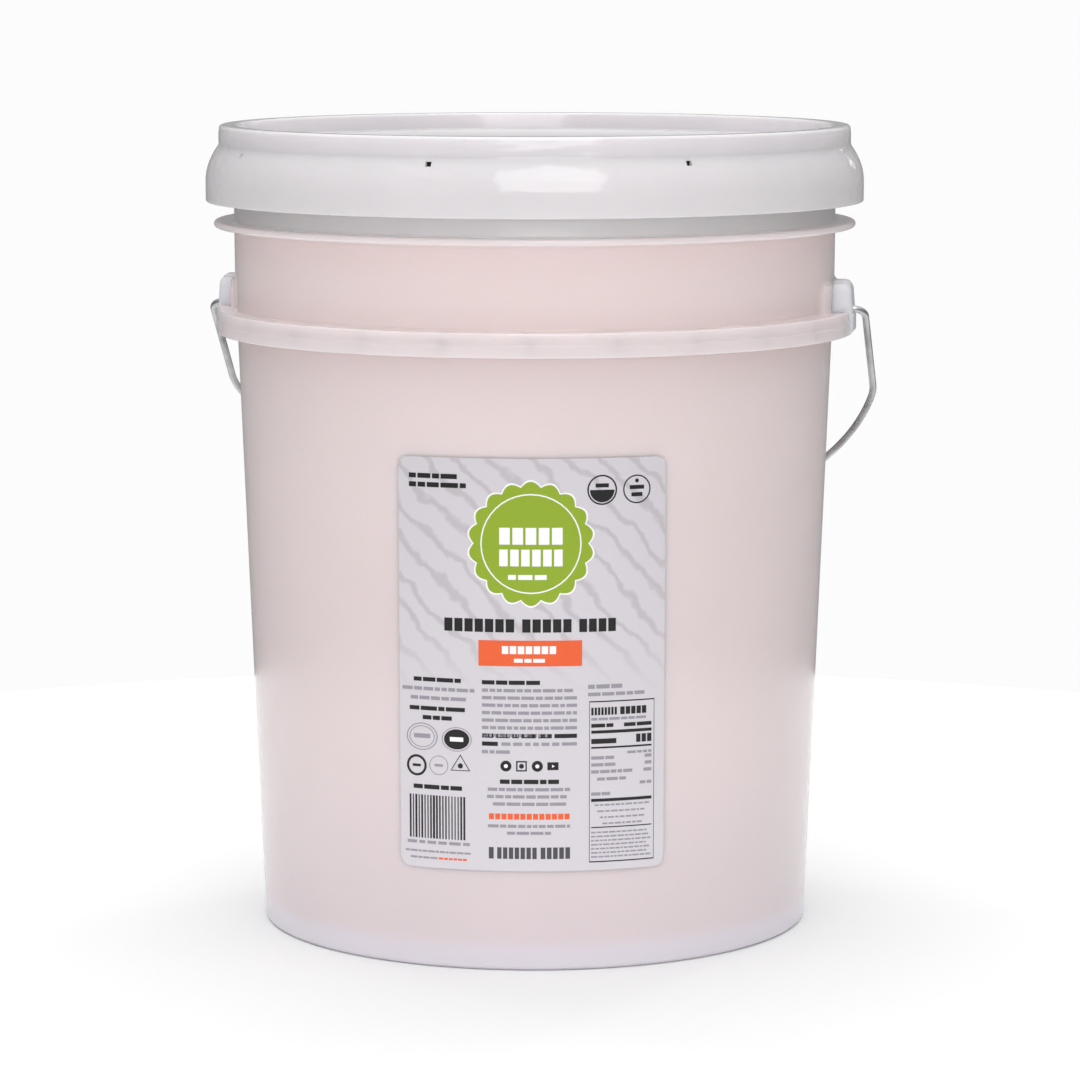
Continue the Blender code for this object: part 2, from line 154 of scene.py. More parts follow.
def srgb(code):
    """Linear colour of an sRGB hex value."""
    linear = []
    for place in (1, 3, 5):
        value = int(code[place:place + 2], 16) / 255.0
        linear.append(value / 12.92 if value <= 0.04045 else ((value + 0.055) / 1.055) ** 2.4)
    return (*linear, 1.0)


def add_node(tree, kind, inputs=None, **settings):
    """Add a node with its settings; inputs are values, or the sockets that feed them."""
    node = tree.nodes.new(kind)
    for name, value in settings.items():
        setattr(node, name, value)
    for key, value in (inputs or {}).items():
        if isinstance(value, bpy.types.NodeSocket):
            tree.links.new(value, node.inputs[key])
        else:
            node.inputs[key].default_value = value
    return node


def new_material(name, **values):
    """A material with its shader's constant inputs set; returns it, its tree and its shader."""
    material = bpy.data.materials.new(name)
    material.use_nodes = True
    tree = material.node_tree
    shader = tree.nodes["Principled BSDF"]
    for key, value in values.items():
        shader.inputs[key.replace("_", " ")].default_value = value
    return material, tree, shader


def set_ramp(node, stops):
    """Give a colour ramp its stops, as (place, hex colour)."""
    while len(node.color_ramp.elements) < len(stops):
        node.color_ramp.elements.new(1.0)
    for element, (place, code) in zip(node.color_ramp.elements, stops):
        element.position = place
        element.color = srgb(code)


def grainy_gloss(tree, shader, place, smooth, rough):
    """Let the roughness follow the fine grain of a moulded skin; returns the grain."""
    grain = add_node(
        tree, "ShaderNodeTexNoise", {"Vector": place, "Scale": 1.0 / GRAIN_SIZE, "Detail": 2.0}
    ).outputs[0]
    gloss = add_node(tree, "ShaderNodeMapRange", {"Value": grain, "To Min": smooth, "To Max": rough})
    tree.links.new(gloss.outputs[0], shader.inputs["Roughness"])
    return grain


def hang(name, mesh, material, body, slot, *nodes):
    """Make a finished mesh a piece on its body, hiding the nodes it stands for; the slot is not used."""
    if material.name not in mesh.materials:
        mesh.materials.append(material)
    mesh.shade_smooth()
    mesh.set_sharp_from_angle(angle=SMOOTH_ANGLE)
    piece = bpy.data.objects.new(name, mesh)
    bpy.context.scene.collection.objects.link(piece)
    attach(piece, body)
    if nodes:
        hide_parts(*nodes)
    return piece


# Natural polyethylene with syrup behind it: soft gloss, light that sinks in a few millimetres,
# a warm pink-grey body that grows paler up the wall, a cooler band at the foot where the pail's
# floor holds the syrup up, and a paler band above the fill and paler rings, where no syrup stands
# behind the plastic. The neck, that band and the rings are lightened further: painted light that
# lifts the shade under the flange and the lid's skirt, in place of light through the plastic.
SYRUP_FLOOR = 13.0 * MM
CLOUD_SIZE = 55.0 * MM
GRAIN_SIZE = 1.6 * MM
WAVE_SIZE = 26.0 * MM
# Paler for the bare rings, and lightened further as painted light against the shade under the lid.
BARE_PLASTIC_AND_LIFTED_SHADE = "#fae1e3"
BARE_START = 1.5 * MM
BARE_END = 7.0 * MM
MILK_DEPTH = 9.0 * MM
LOW_WAVE = 0.25 * MM
FINE_WAVE = 0.02 * MM

natural_plastic, tree, shader = new_material(
    "natural_polyethylene", IOR=1.51, Subsurface_Weight=1.0, Subsurface_Scale=MILK_DEPTH,
    Subsurface_Radius=(1.0, 0.93, 0.9),
)
place = add_node(tree, "ShaderNodeTexCoord").outputs["Object"]
height = add_node(tree, "ShaderNodeSeparateXYZ", {0: place}).outputs["Z"]
level = add_node(tree, "ShaderNodeMapRange", {"Value": height, "From Max": pail_high.z}).outputs[0]
tint = add_node(tree, "ShaderNodeValToRGB", {"Fac": level})
tint.color_ramp.interpolation = "EASE"
floor_place = SYRUP_FLOOR / pail_high.z
neck_place = SKIRT_HIGH / pail_high.z
fill_place = FLANGE_LOW / pail_high.z
set_ramp(tint, (
    (floor_place * 0.55, "#ddd7df"),
    (floor_place * 1.25, "#dcd1d4"),
    (0.30, "#e5d8d9"),
    (0.75, "#eee1e1"),
    # The neck and the band above the fill are lightened: painted light lifting the shade under the
    # flange and lid.
    (neck_place, "#f2e5e4"),
    (fill_place * 0.995, "#f4e5e4"),
    (fill_place * 1.005, "#fcf6f7"),
))
cloud = add_node(tree, "ShaderNodeTexNoise", {"Vector": place, "Scale": 1.0 / CLOUD_SIZE, "Detail": 3.0})
shade = add_node(
    tree, "ShaderNodeMapRange", {"Value": cloud.outputs[0], "To Min": 0.965, "To Max": 1.02}
)
flat_place = add_node(tree, "ShaderNodeVectorMath", {0: place, 1: (1.0, 1.0, 0.0)}, operation="MULTIPLY")
out = add_node(tree, "ShaderNodeVectorMath", {0: flat_place.outputs[0]}, operation="LENGTH")
wall = add_node(
    tree, "ShaderNodeMath", {0: height, 1: WALL_TAPER, 2: WALL_RADIUS_AT_FLOOR},
    operation="MULTIPLY_ADD",
)
proud = add_node(
    tree, "ShaderNodeMath", {0: out.outputs["Value"], 1: wall.outputs[0]}, operation="SUBTRACT"
)
bare = add_node(
    tree, "ShaderNodeMapRange",
    {"Value": proud.outputs[0], "From Min": BARE_START, "From Max": BARE_END},
    interpolation_type="SMOOTHSTEP",
)
outer_tint = add_node(
    tree, "ShaderNodeMix", {"Factor": bare.outputs[0], "A": tint.outputs[0], "B": srgb(BARE_PLASTIC_AND_LIFTED_SHADE)},
    data_type="RGBA",
)
body_colour = add_node(
    tree, "ShaderNodeMix", {"Factor": 1.0, "A": outer_tint.outputs["Result"], "B": shade.outputs[0]},
    data_type="RGBA", blend_type="MULTIPLY",
)
tree.links.new(body_colour.outputs["Result"], shader.inputs["Base Color"])
grain = grainy_gloss(tree, shader, place, 0.11, 0.15)
wave = add_node(tree, "ShaderNodeTexNoise", {"Vector": place, "Scale": 1.0 / WAVE_SIZE, "Detail": 1.0})
low_relief = add_node(
    tree, "ShaderNodeBump", {"Height": wave.outputs[0], "Distance": LOW_WAVE, "Strength": 0.6}
)
fine_relief = add_node(
    tree, "ShaderNodeBump",
    {"Height": grain, "Distance": FINE_WAVE, "Strength": 0.5, "Normal": low_relief.outputs[0]},
)
tree.links.new(fine_relief.outputs[0], shader.inputs["Normal"])


def pad_rise(angle, radius, z):
    """Height of the soft-edged pad that thickens the neck behind each ear."""
    if z < SKIRT_HIGH - MOULD_FILLET / 2 or z > FLANGE_LOW - MOULD_FILLET or radius > MOUTH_RADIUS:
        return 0.0
    along = abs(asin(sin(angle))) * NECK_RADIUS_LOW
    out = max(along - (PAD_HALF_WIDTH - PAD_CORNER), 0.0)
    up = max(z - (PAD_TOP - PAD_CORNER), 0.0)
    depth = min(max((PAD_CORNER - hypot(out, up)) / PAD_SOFT, 0.0), 1.0)
    return PAD_PROUD * depth * depth * (3.0 - 2.0 * depth)


def pail_outline():
    """From the middle of the base, out round the foot, up the wall and in over the top."""
    foot_outer = wall_radius(FOOT_EDGE)
    foot_inner = foot_outer - FOOT_EDGE - FOOT_WIDTH
    skirt_inner = SKIRT_RADIUS - SKIRT_WALL
    shelf = SKIRT_HIGH - SHELF_WALL
    flange_half = (FLANGE_HIGH - FLANGE_LOW) / 2
    fillet = MOULD_FILLET
    bead_low = pail_high.z - MOUTH_HEIGHT
    gate = BASE_RECESS - BASE_GATE_DROP
    bead = BASE_RECESS - BASE_BEAD_DROP
    points = [(0.0, gate), (BASE_GATE_RADIUS, gate), (BASE_GATE_RADIUS + BASE_SLOPE, BASE_RECESS)]
    points += [(BASE_BEAD_INNER - BASE_SLOPE, BASE_RECESS), (BASE_BEAD_INNER, bead)]
    points += [(BASE_BEAD_OUTER, bead), (BASE_BEAD_OUTER + BASE_SLOPE, BASE_RECESS)]
    foot_top = (foot_inner - 4.0 * fillet, BASE_RECESS - 2.0 * fillet)
    points += arc(foot_top, 2.0 * fillet, 90.0, 10.0, 4)
    points += [(foot_inner - 0.4 * fillet, 0.8 * fillet), (foot_inner, 0.0)]
    points += arc((foot_outer - FOOT_EDGE, FOOT_EDGE), FOOT_EDGE, -90.0, 0.0)
    for row in range(1, WALL_ROWS):
        z = FOOT_EDGE + (shelf - fillet - FOOT_EDGE) * row / WALL_ROWS
        points.append((wall_radius(z), z))
    points += arc((wall_radius(shelf) + fillet, shelf - fillet), fillet, 180.0, 90.0, 4)
    points += arc((skirt_inner - fillet, shelf - fillet), fillet, 90.0, 0.0, 4)
    edge = SKIRT_EDGE / 2
    step = SKIRT_STEP
    points += arc((skirt_inner + edge, SKIRT_LOW + edge), edge, 180.0, 270.0, 4)
    points += arc((SKIRT_RADIUS - edge, SKIRT_LOW + edge), edge, -90.0, 0.0, 4)
    points += arc((SKIRT_RADIUS - step, SKIRT_STEP_HEIGHT - step), step, 0.0, 60.0, 4)
    points += arc((SKIRT_RADIUS - step, SKIRT_STEP_HEIGHT + step), step, -120.0, -180.0, 2)
    skirt_top = (SKIRT_RADIUS - 2.0 * step - SKIRT_EDGE, SKIRT_HIGH - SKIRT_EDGE)
    points += arc(skirt_top, SKIRT_EDGE, 0.0, 90.0)
    points += arc((NECK_RADIUS_LOW + fillet, SKIRT_HIGH + fillet), fillet, 270.0, 180.0, 4)
    for row in range(1, NECK_ROWS):
        share = row / NECK_ROWS
        z = SKIRT_HIGH + fillet + (FLANGE_LOW - SKIRT_HIGH - 2.0 * fillet) * share
        points.append((NECK_RADIUS_LOW + (NECK_RADIUS_HIGH - NECK_RADIUS_LOW) * share, z))
    points += arc((NECK_RADIUS_HIGH + fillet, FLANGE_LOW - fillet), fillet, 180.0, 90.0, 4)
    flange_middle = (FLANGE_RADIUS - flange_half, FLANGE_LOW + flange_half)
    points += arc(flange_middle, flange_half, -90.0, 90.0, 12)
    points += arc((NECK_RADIUS_HIGH + fillet, FLANGE_HIGH + fillet), fillet, 270.0, 180.0, 4)
    points += [(NECK_RADIUS_HIGH, bead_low - fillet)]
    points += arc((MOUTH_RADIUS - fillet, bead_low + fillet), fillet, -80.0, 0.0, 4)
    points += arc((MOUTH_RADIUS - fillet, pail_high.z - fillet), fillet, 0.0, 90.0, 4)
    points.append((0.0, pail_high.z))
    return points


def pail_angles():
    """Steps round the pail: fine behind the ears, where the pads' edges are, coarser between."""
    fine_reach = radians(18.0)
    fine_steps = 48
    coarse_steps = 112
    angles = []
    for middle in (0.0, pi):
        for step in range(fine_steps):
            angles.append(middle - fine_reach + 2.0 * fine_reach * step / fine_steps)
        for step in range(coarse_steps):
            angles.append(middle + fine_reach + (pi - 2.0 * fine_reach) * step / coarse_steps)
    return angles


pail_mesh = turned_mesh("pail_shell", pail_outline(), pail_angles(), pad_rise)
hang("pail_shell", pail_mesh, natural_plastic, "pail_body", "pail_plastic", "pail")


# Gussets. Thin webs under the skirt ring tie its hanging wall to the pail, all of one
# moulding with it. One web is made and set round the ring at even steps.

GUSSET_COUNT = 24
GUSSET_THICKNESS = 1.2 * MM
GUSSET_LOW = 281.5 * MM
GUSSET_ROOT = 1.5 * MM
GUSSET_BITE = 0.15 * MM


def new_group(name, sizes):
    """A Geometry Nodes tree with named inputs; returns it, its inputs and its output node."""
    group = bpy.data.node_groups.new(name, "GeometryNodeTree")
    for label, (kind, value) in sizes.items():
        socket = group.interface.new_socket(name=label, in_out="INPUT", socket_type=kind)
        socket.default_value = value
    group.interface.new_socket(name="Geometry", in_out="OUTPUT", socket_type="NodeSocketGeometry")
    return group, group.nodes.new("NodeGroupInput").outputs, group.nodes.new("NodeGroupOutput")


def grown_mesh(name, group, values):
    """Run a tree with the given input values, and return what it makes as a plain mesh."""
    carrier = bpy.data.objects.new(name, bpy.data.meshes.new(name + "_start"))
    bpy.context.scene.collection.objects.link(carrier)
    modifier = carrier.modifiers.new(name, "NODES")
    modifier.node_group = group
    for item in group.interface.items_tree:
        if item.in_out == "INPUT" and item.name in values:
            modifier[item.identifier] = values[item.name]
    seen = carrier.evaluated_get(bpy.context.evaluated_depsgraph_get())
    mesh = bpy.data.meshes.new_from_object(seen)
    carrier.modifiers.remove(modifier)
    bpy.data.objects.remove(carrier)
    mesh.name = name
    return mesh


gusset_sizes = {
    "Count": ("NodeSocketInt", GUSSET_COUNT),
    "Thickness": ("NodeSocketFloat", GUSSET_THICKNESS),
    "Inner Radius": ("NodeSocketFloat", NECK_RADIUS_LOW - GUSSET_ROOT),
    "Outer Radius": ("NodeSocketFloat", SKIRT_RADIUS - SKIRT_WALL + GUSSET_BITE),
    "Low": ("NodeSocketFloat", GUSSET_LOW),
    "High": ("NodeSocketFloat", SKIRT_HIGH - SHELF_WALL / 2),
}
group, given, result = new_group("webs_in_a_ring", gusset_sizes)
reach = add_node(
    group, "ShaderNodeMath", {0: given["Outer Radius"], 1: given["Inner Radius"]}, operation="SUBTRACT"
)
rise = add_node(group, "ShaderNodeMath", {0: given["High"], 1: given["Low"]}, operation="SUBTRACT")
web_size = add_node(
    group, "ShaderNodeCombineXYZ", {0: reach.outputs[0], 1: given["Thickness"], 2: rise.outputs[0]}
)
web = add_node(group, "GeometryNodeMeshCube", {"Size": web_size.outputs[0]})
middle_radius = add_node(
    group, "ShaderNodeMath", {0: reach.outputs[0], 1: 0.5, 2: given["Inner Radius"]},
    operation="MULTIPLY_ADD",
)
middle_height = add_node(
    group, "ShaderNodeMath", {0: rise.outputs[0], 1: 0.5, 2: given["Low"]}, operation="MULTIPLY_ADD"
)
web_place = add_node(
    group, "ShaderNodeCombineXYZ", {0: middle_radius.outputs[0], 2: middle_height.outputs[0]}
)
set_out = add_node(
    group, "GeometryNodeTransform",
    {"Geometry": web.outputs["Mesh"], "Translation": web_place.outputs[0]},
)
stations = add_node(
    group, "GeometryNodeMeshLine", {"Count": given["Count"], "Offset": (0.0, 0.0, 0.0)}
)
number = add_node(group, "GeometryNodeInputIndex")
half_on = add_node(group, "ShaderNodeMath", {0: number.outputs[0], 1: 0.5}, operation="ADD")
share = add_node(group, "ShaderNodeMath", {0: half_on.outputs[0], 1: given["Count"]}, operation="DIVIDE")
turn = add_node(group, "ShaderNodeMath", {0: share.outputs[0], 1: 2.0 * pi}, operation="MULTIPLY")
web_turn = add_node(group, "ShaderNodeCombineXYZ", {2: turn.outputs[0]})
ring = add_node(
    group, "GeometryNodeInstanceOnPoints",
    {"Points": stations.outputs[0], "Instance": set_out.outputs[0], "Rotation": web_turn.outputs[0]},
)
real = add_node(group, "GeometryNodeRealizeInstances", {"Geometry": ring.outputs[0]})
painted = add_node(
    group, "GeometryNodeSetMaterial", {"Geometry": real.outputs[0], "Material": natural_plastic}
)
group.links.new(painted.outputs[0], result.inputs[0])
gusset_mesh = grown_mesh("pail_gussets", group, {"Count": GUSSET_COUNT})
hang("pail_gussets", gusset_mesh, natural_plastic, "pail_body", "pail_plastic", "pail")


# Ears. A block that widens to its root stands on the shelf at each side, with a foot that
# runs down over the skirt, and a blind hole for the bail's end. Same moulding as the pail.

PIVOT = Vector(frame["joints"][0]["pos_m"])
EAR_OUT = 150.0 * MM
EAR_ROOT = 138.5 * MM
EAR_HALF_WIDTH = 11.0 * MM
EAR_FLARE = 1.9
EAR_DRAFT = 0.07
EAR_TOP = 305.5 * MM
EAR_CROWN = 1.3 * MM
EAR_CORNER = 4.0 * MM
EAR_EDGE = 3.2 * MM
EAR_FOOT_OUT = 151.5 * MM
EAR_FOOT_EDGE = 2.4 * MM
EAR_FOOT_INSET = 0.3 * MM
PIVOT_HOLE = 2.1 * MM
PIVOT_HOLE_END = 142.5 * MM
BAR_SIDES = 40
BAR_EDGE = 0.01 * MM
CROWN_STEPS = 8


def as_mesh(bm, name):
    """Write a bmesh to a new mesh and free it."""
    mesh = bpy.data.meshes.new(name)
    bm.to_mesh(mesh)
    bm.free()
    return mesh


def circle(x, y, radius, sides):
    """Points evenly round a circle."""
    turns = [2.0 * pi * n / sides for n in range(sides)]
    return [(x + radius * cos(turn), y + radius * sin(turn)) for turn in turns]


def drawn_out(outline, x_low, x_high, edge, segments=6, flare=1.0, draft=0.0):
    """Draw an outline in Y and Z out along X, and round the rim of its outer face.

    flare widens its root, and draft leans its outer face out towards the bottom.
    """
    top = max(z for y, z in outline)
    bm = bmesh.new()
    face = bm.faces.new([bm.verts.new((x_low, y * flare, z)) for y, z in outline])
    grown = bmesh.ops.extrude_face_region(bm, geom=[face])["geom"]
    moved = {part for part in grown if isinstance(part, bmesh.types.BMVert)}
    for vert in moved:
        vert.co = (x_high + draft * (top - vert.co.z), vert.co.y / flare, vert.co.z)
    rim = [link for link in bm.edges if moved.issuperset(link.verts)]
    bmesh.ops.bevel(
        bm, geom=rim, offset=edge, offset_type="OFFSET", segments=segments, profile=0.5, affect="EDGES",
        clamp_overlap=True,
    )
    bmesh.ops.triangulate(bm, faces=bm.faces)
    bmesh.ops.recalc_face_normals(bm, faces=bm.faces)
    return as_mesh(bm, "drawn_out")


def round_bar(radius, x_low, x_high):
    """A round bar along the bail's axis."""
    return drawn_out(circle(0.0, PIVOT.z, radius, BAR_SIDES), x_low, x_high, BAR_EDGE, 1)


def joined_by(operation, mesh, others):
    """Join or cut a mesh with others by an exact Boolean, and return the result."""
    base = bpy.data.objects.new("boolean_base", mesh)
    bpy.context.scene.collection.objects.link(base)
    tools = bpy.data.collections.new("boolean_tools")
    bpy.context.scene.collection.children.link(tools)
    for other in others:
        tools.objects.link(bpy.data.objects.new("boolean_tool", other))
    modifier = base.modifiers.new(operation, "BOOLEAN")
    modifier.operation = operation
    modifier.operand_type = "COLLECTION"
    modifier.collection = tools
    bpy.context.view_layer.update()
    seen = base.evaluated_get(bpy.context.evaluated_depsgraph_get())
    made = bpy.data.meshes.new_from_object(seen)
    for item in [base, *tools.objects]:
        bpy.data.objects.remove(item)
    bpy.data.collections.remove(tools)
    return made


def ear_block():
    """Front view of the ear's block: straight sides, round corners, a slightly crowned top."""
    corner_y = EAR_HALF_WIDTH - EAR_CORNER
    corner_z = EAR_TOP - EAR_CROWN - EAR_CORNER
    bottom = SKIRT_HIGH - SHELF_WALL - MOULD_FILLET
    outline = [(-EAR_HALF_WIDTH, bottom), (EAR_HALF_WIDTH, bottom)]
    outline += arc((corner_y, corner_z), EAR_CORNER, 0.0, 90.0)
    for step in range(1, CROWN_STEPS):
        y = corner_y * (1.0 - 2.0 * step / CROWN_STEPS)
        outline.append((y, EAR_TOP - EAR_CROWN * (y / corner_y) ** 2))
    outline += arc((-corner_y, corner_z), EAR_CORNER, 90.0, 180.0)
    return drawn_out(outline, EAR_ROOT, EAR_OUT, EAR_EDGE, 8, EAR_FLARE, EAR_DRAFT)


def ear_foot():
    """The plate that carries the ear's load down over the skirt."""
    top = SKIRT_HIGH - EAR_FOOT_INSET
    bottom = SKIRT_LOW + EAR_FOOT_INSET
    half = EAR_HALF_WIDTH
    corners = ((-half, bottom), (half, bottom), (half, top), (-half, top))
    return drawn_out(corners, EAR_ROOT, EAR_FOOT_OUT, EAR_FOOT_EDGE)


def ear_mesh(turn):
    """Block and foot as one solid, bored for the bail's end and turned to its side."""
    solid = joined_by("UNION", ear_block(), [ear_foot()])
    drill = round_bar(PIVOT_HOLE, PIVOT_HOLE_END, EAR_FOOT_OUT + 2.0 * MM)
    bored = joined_by("DIFFERENCE", solid, [drill])
    bored.transform(Matrix.Rotation(turn, 4, "Z"))
    return bored


# The ears are thick and hold no syrup, so the same plastic looks whiter and cooler there.
EAR_TINT = "#efeef6"

ear_plastic = natural_plastic.copy()
ear_plastic.name = "thick_natural_polyethylene"
tree = ear_plastic.node_tree
speckle = add_node(
    tree, "ShaderNodeMix",
    {"Factor": 1.0, "A": srgb(EAR_TINT), "B": tree.nodes[shade.name].outputs[0]},
    data_type="RGBA", blend_type="MULTIPLY",
)
tree.links.new(speckle.outputs["Result"], tree.nodes["Principled BSDF"].inputs["Base Color"])

for side, turn_angle in (("right", 0.0), ("left", pi)):
    hang("ear_" + side, ear_mesh(turn_angle), ear_plastic, "pail_body", "pail_plastic", "pail")


# Lid. Moulded in white polyethylene with more gloss than the pail. Its sunk panel takes the
# foot of the next pail, the raised rim stands over the mouth, and the skirt hangs outside it,
# with eight small windows in the shoulder where the mould formed the catches.

lid_low, lid_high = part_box("lid")

PANEL_TOP = 369.0 * MM
RIM_INNER_RADIUS = 139.6 * MM
RIM_DRAFT = 1.4 * MM
RIM_INNER_EDGE = 1.3 * MM
RIM_RADIUS = 148.5 * MM
RIM_EDGE = 1.6 * MM
RIM_STEP = 0.2 * MM
RIM_STEP_HEIGHT = 374.0 * MM
LID_RADIUS = lid_high.x
LID_SKIRT_TOP = 351.0 * MM
SHOULDER_RADIUS = 148.9 * MM
SHOULDER_TOP = 367.2 * MM
SHOULDER_FILLET = 2.1 * MM
LID_WALL = 2.3 * MM
LID_EDGE = 0.6 * MM
LID_INNER_RADIUS = 147.9 * MM
LID_INNER_STEP = 362.8 * MM
LID_INNER_BULGE = 0.8 * MM
LID_GAP = 0.3 * MM
LID_STEPS = 320
SHOULDER_STEPS = 24
PANEL_RING_RADIUS = 121.0 * MM
PANEL_RING_WIDTH = 3.0 * MM
PANEL_RING_SLOPE = 1.2 * MM
PANEL_RING_RISE = 0.6 * MM
GATE_RADIUS = 3.0 * MM
GATE_RISE = 0.4 * MM

WINDOW_COUNT = 8
WINDOW_FIRST = radians(-9.6)
WINDOW_WIDTH = 2.7 * MM
WINDOW_LOW = 363.9 * MM
WINDOW_HIGH = 366.0 * MM

# White polyethylene: smooth off the polished mould, so the studio shows in it, but with the
# slow ripples of cooling that bend the edges of a reflection.
RIPPLE_SIZE = 9.0 * MM
RIPPLE_DEPTH = 0.25 * MM


def mottled(tree, shader, size, detail, stops):
    """Let the base colour drift in patches of a real size; returns the place and the patches."""
    place = add_node(tree, "ShaderNodeTexCoord").outputs["Object"]
    patches = add_node(
        tree, "ShaderNodeTexNoise", {"Vector": place, "Scale": 1.0 / size, "Detail": detail}
    ).outputs[0]
    tint = add_node(tree, "ShaderNodeValToRGB", {"Fac": patches})
    set_ramp(tint, stops)
    tree.links.new(tint.outputs[0], shader.inputs["Base Color"])
    return place, patches


white_plastic, tree, shader = new_material(
    "white_polyethylene", IOR=1.51, Subsurface_Weight=0.8, Subsurface_Scale=5.0 * MM,
    Subsurface_Radius=(1.0, 0.97, 0.97),
)
place = mottled(tree, shader, CLOUD_SIZE, 2.0, ((0.3, "#e6e3e6"), (0.7, "#ece8eb")))[0]
grainy_gloss(tree, shader, place, 0.03, 0.05)
flattened = add_node(tree, "ShaderNodeVectorMath", {0: place, 1: (1.0, 1.0, 2.4)}, operation="MULTIPLY")
ripple = add_node(
    tree, "ShaderNodeTexNoise",
    {"Vector": flattened.outputs[0], "Scale": 1.0 / RIPPLE_SIZE, "Detail": 0.0},
)
relief = add_node(
    tree, "ShaderNodeBump", {"Height": ripple.outputs[0], "Distance": RIPPLE_DEPTH, "Strength": 1.0}
)
tree.links.new(relief.outputs[0], shader.inputs["Normal"])


def lid_outline():
    """From under the panel, down the inside of the skirt, up the outside and in to the middle."""
    under = pail_high.z + LID_GAP
    inner = LID_RADIUS - LID_WALL
    rim_foot = RIM_INNER_RADIUS - RIM_DRAFT
    bulge = (inner + LID_INNER_RADIUS) / 2 + LID_INNER_BULGE
    points = [(0.0, under), (LID_INNER_RADIUS, under), (LID_INNER_RADIUS, LID_INNER_STEP)]
    points += [(bulge, (LID_SKIRT_TOP + LID_INNER_STEP) / 2), (inner, LID_SKIRT_TOP)]
    points += [(inner, lid_low.z + LID_EDGE), (inner + LID_EDGE, lid_low.z)]
    points += arc((LID_RADIUS - LID_EDGE, lid_low.z + LID_EDGE), LID_EDGE, -90.0, 0.0, 4)
    for step in range(SHOULDER_STEPS + 1):
        angle = radians(90.0 * step / SHOULDER_STEPS)
        radius = SHOULDER_RADIUS + (LID_RADIUS - SHOULDER_RADIUS) * cos(angle) ** 2
        points.append((radius, LID_SKIRT_TOP + (SHOULDER_TOP - LID_SKIRT_TOP) * sin(angle)))
    lean = degrees(atan(2.0 * (LID_RADIUS - SHOULDER_RADIUS) / (SHOULDER_TOP - LID_SKIRT_TOP)))
    hollow_middle = (RIM_RADIUS + SHOULDER_FILLET, SHOULDER_TOP + SHOULDER_FILLET * sin(radians(lean)))
    points += arc(hollow_middle, SHOULDER_FILLET, 180.0 + lean, 180.0, 6)[1:]
    points += arc((RIM_RADIUS - RIM_STEP, RIM_STEP_HEIGHT - RIM_STEP), RIM_STEP, 0.0, 60.0, 3)
    points += arc((RIM_RADIUS, RIM_STEP_HEIGHT + 2.0 * RIM_STEP), RIM_STEP, -120.0, -180.0, 2)
    points += arc((RIM_RADIUS - RIM_STEP - RIM_EDGE, lid_high.z - RIM_EDGE), RIM_EDGE, 0.0, 90.0)
    edge = RIM_INNER_EDGE
    points += arc((RIM_INNER_RADIUS + edge, lid_high.z - edge), edge, 90.0, 180.0)
    points += arc((rim_foot - edge, PANEL_TOP + edge), edge, 0.0, -90.0)
    ring_outer = PANEL_RING_RADIUS
    ring_inner = PANEL_RING_RADIUS - PANEL_RING_WIDTH
    ring_top = PANEL_TOP + PANEL_RING_RISE
    gate_top = PANEL_TOP + GATE_RISE
    points += [(ring_outer + PANEL_RING_SLOPE, PANEL_TOP), (ring_outer, ring_top)]
    points += [(ring_inner, ring_top), (ring_inner - PANEL_RING_SLOPE, PANEL_TOP)]
    points += [(GATE_RADIUS + GATE_RISE, PANEL_TOP), (GATE_RADIUS, gate_top), (0.0, gate_top)]
    return points


def window_cutter(turn):
    """A small box through the shoulder, at an angle round the lid."""
    bm = bmesh.new()
    bmesh.ops.create_cube(bm, size=1.0)
    x_low = LID_INNER_RADIUS - 0.5 * MM
    size = (LID_RADIUS - x_low, WINDOW_WIDTH, WINDOW_HIGH - WINDOW_LOW)
    middle = ((LID_RADIUS + x_low) / 2, 0.0, (WINDOW_LOW + WINDOW_HIGH) / 2)
    bmesh.ops.scale(bm, verts=bm.verts, vec=size)
    bmesh.ops.translate(bm, verts=bm.verts, vec=middle)
    bmesh.ops.rotate(bm, verts=bm.verts, matrix=Matrix.Rotation(turn, 3, "Z"))
    return as_mesh(bm, "window_cutter")


lid_angles = [2.0 * pi * step / LID_STEPS for step in range(LID_STEPS)]
windows = [WINDOW_FIRST - pi / 2 + 2.0 * pi * n / WINDOW_COUNT for n in range(WINDOW_COUNT)]
whole_lid = turned_mesh("lid_shell", lid_outline(), lid_angles)
lid_mesh = joined_by("DIFFERENCE", whole_lid, [window_cutter(turn) for turn in windows])
hang("lid_shell", lid_mesh, white_plastic, "pail_body", "lid_plastic", "lid")


# Slot shade. A black band in the gap between the mouth's bead and the lid, behind the windows:
# painted shade, so that the windows look dark like deep slots. Only the specks of it that show
# through the windows in the lid are seen.

SLOT_SHADE_INNER = MOUTH_RADIUS + 0.1 * MM
SLOT_SHADE_OUTER = LID_INNER_RADIUS - 0.1 * MM

# Near-black matt paint: the painted shade inside the lid's windows.
slot_shade_paint, tree, shader = new_material("painted_slot_shade", IOR=1.5, Roughness=0.8)
mottled(tree, shader, GRAIN_SIZE, 2.0, ((0.3, "#060606"), (0.8, "#101010")))

slot_shade_section = (
    (SLOT_SHADE_INNER, WINDOW_LOW - 1.0 * MM),
    (SLOT_SHADE_OUTER, WINDOW_LOW - 1.0 * MM),
    (SLOT_SHADE_OUTER, pail_high.z),
    (SLOT_SHADE_INNER, pail_high.z),
)
slot_shade_mesh = turned_mesh("lid_slot_shade", slot_shade_section, lid_angles, closed=True)
hang("lid_slot_shade", slot_shade_mesh, slot_shade_paint, "pail_body", "lid_plastic")


# Label. A white film with a satin varnish, cut square with round corners and laid on the
# tapered wall. Faint grey ripples are printed over its upper part as a background.

label_low, label_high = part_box("label")

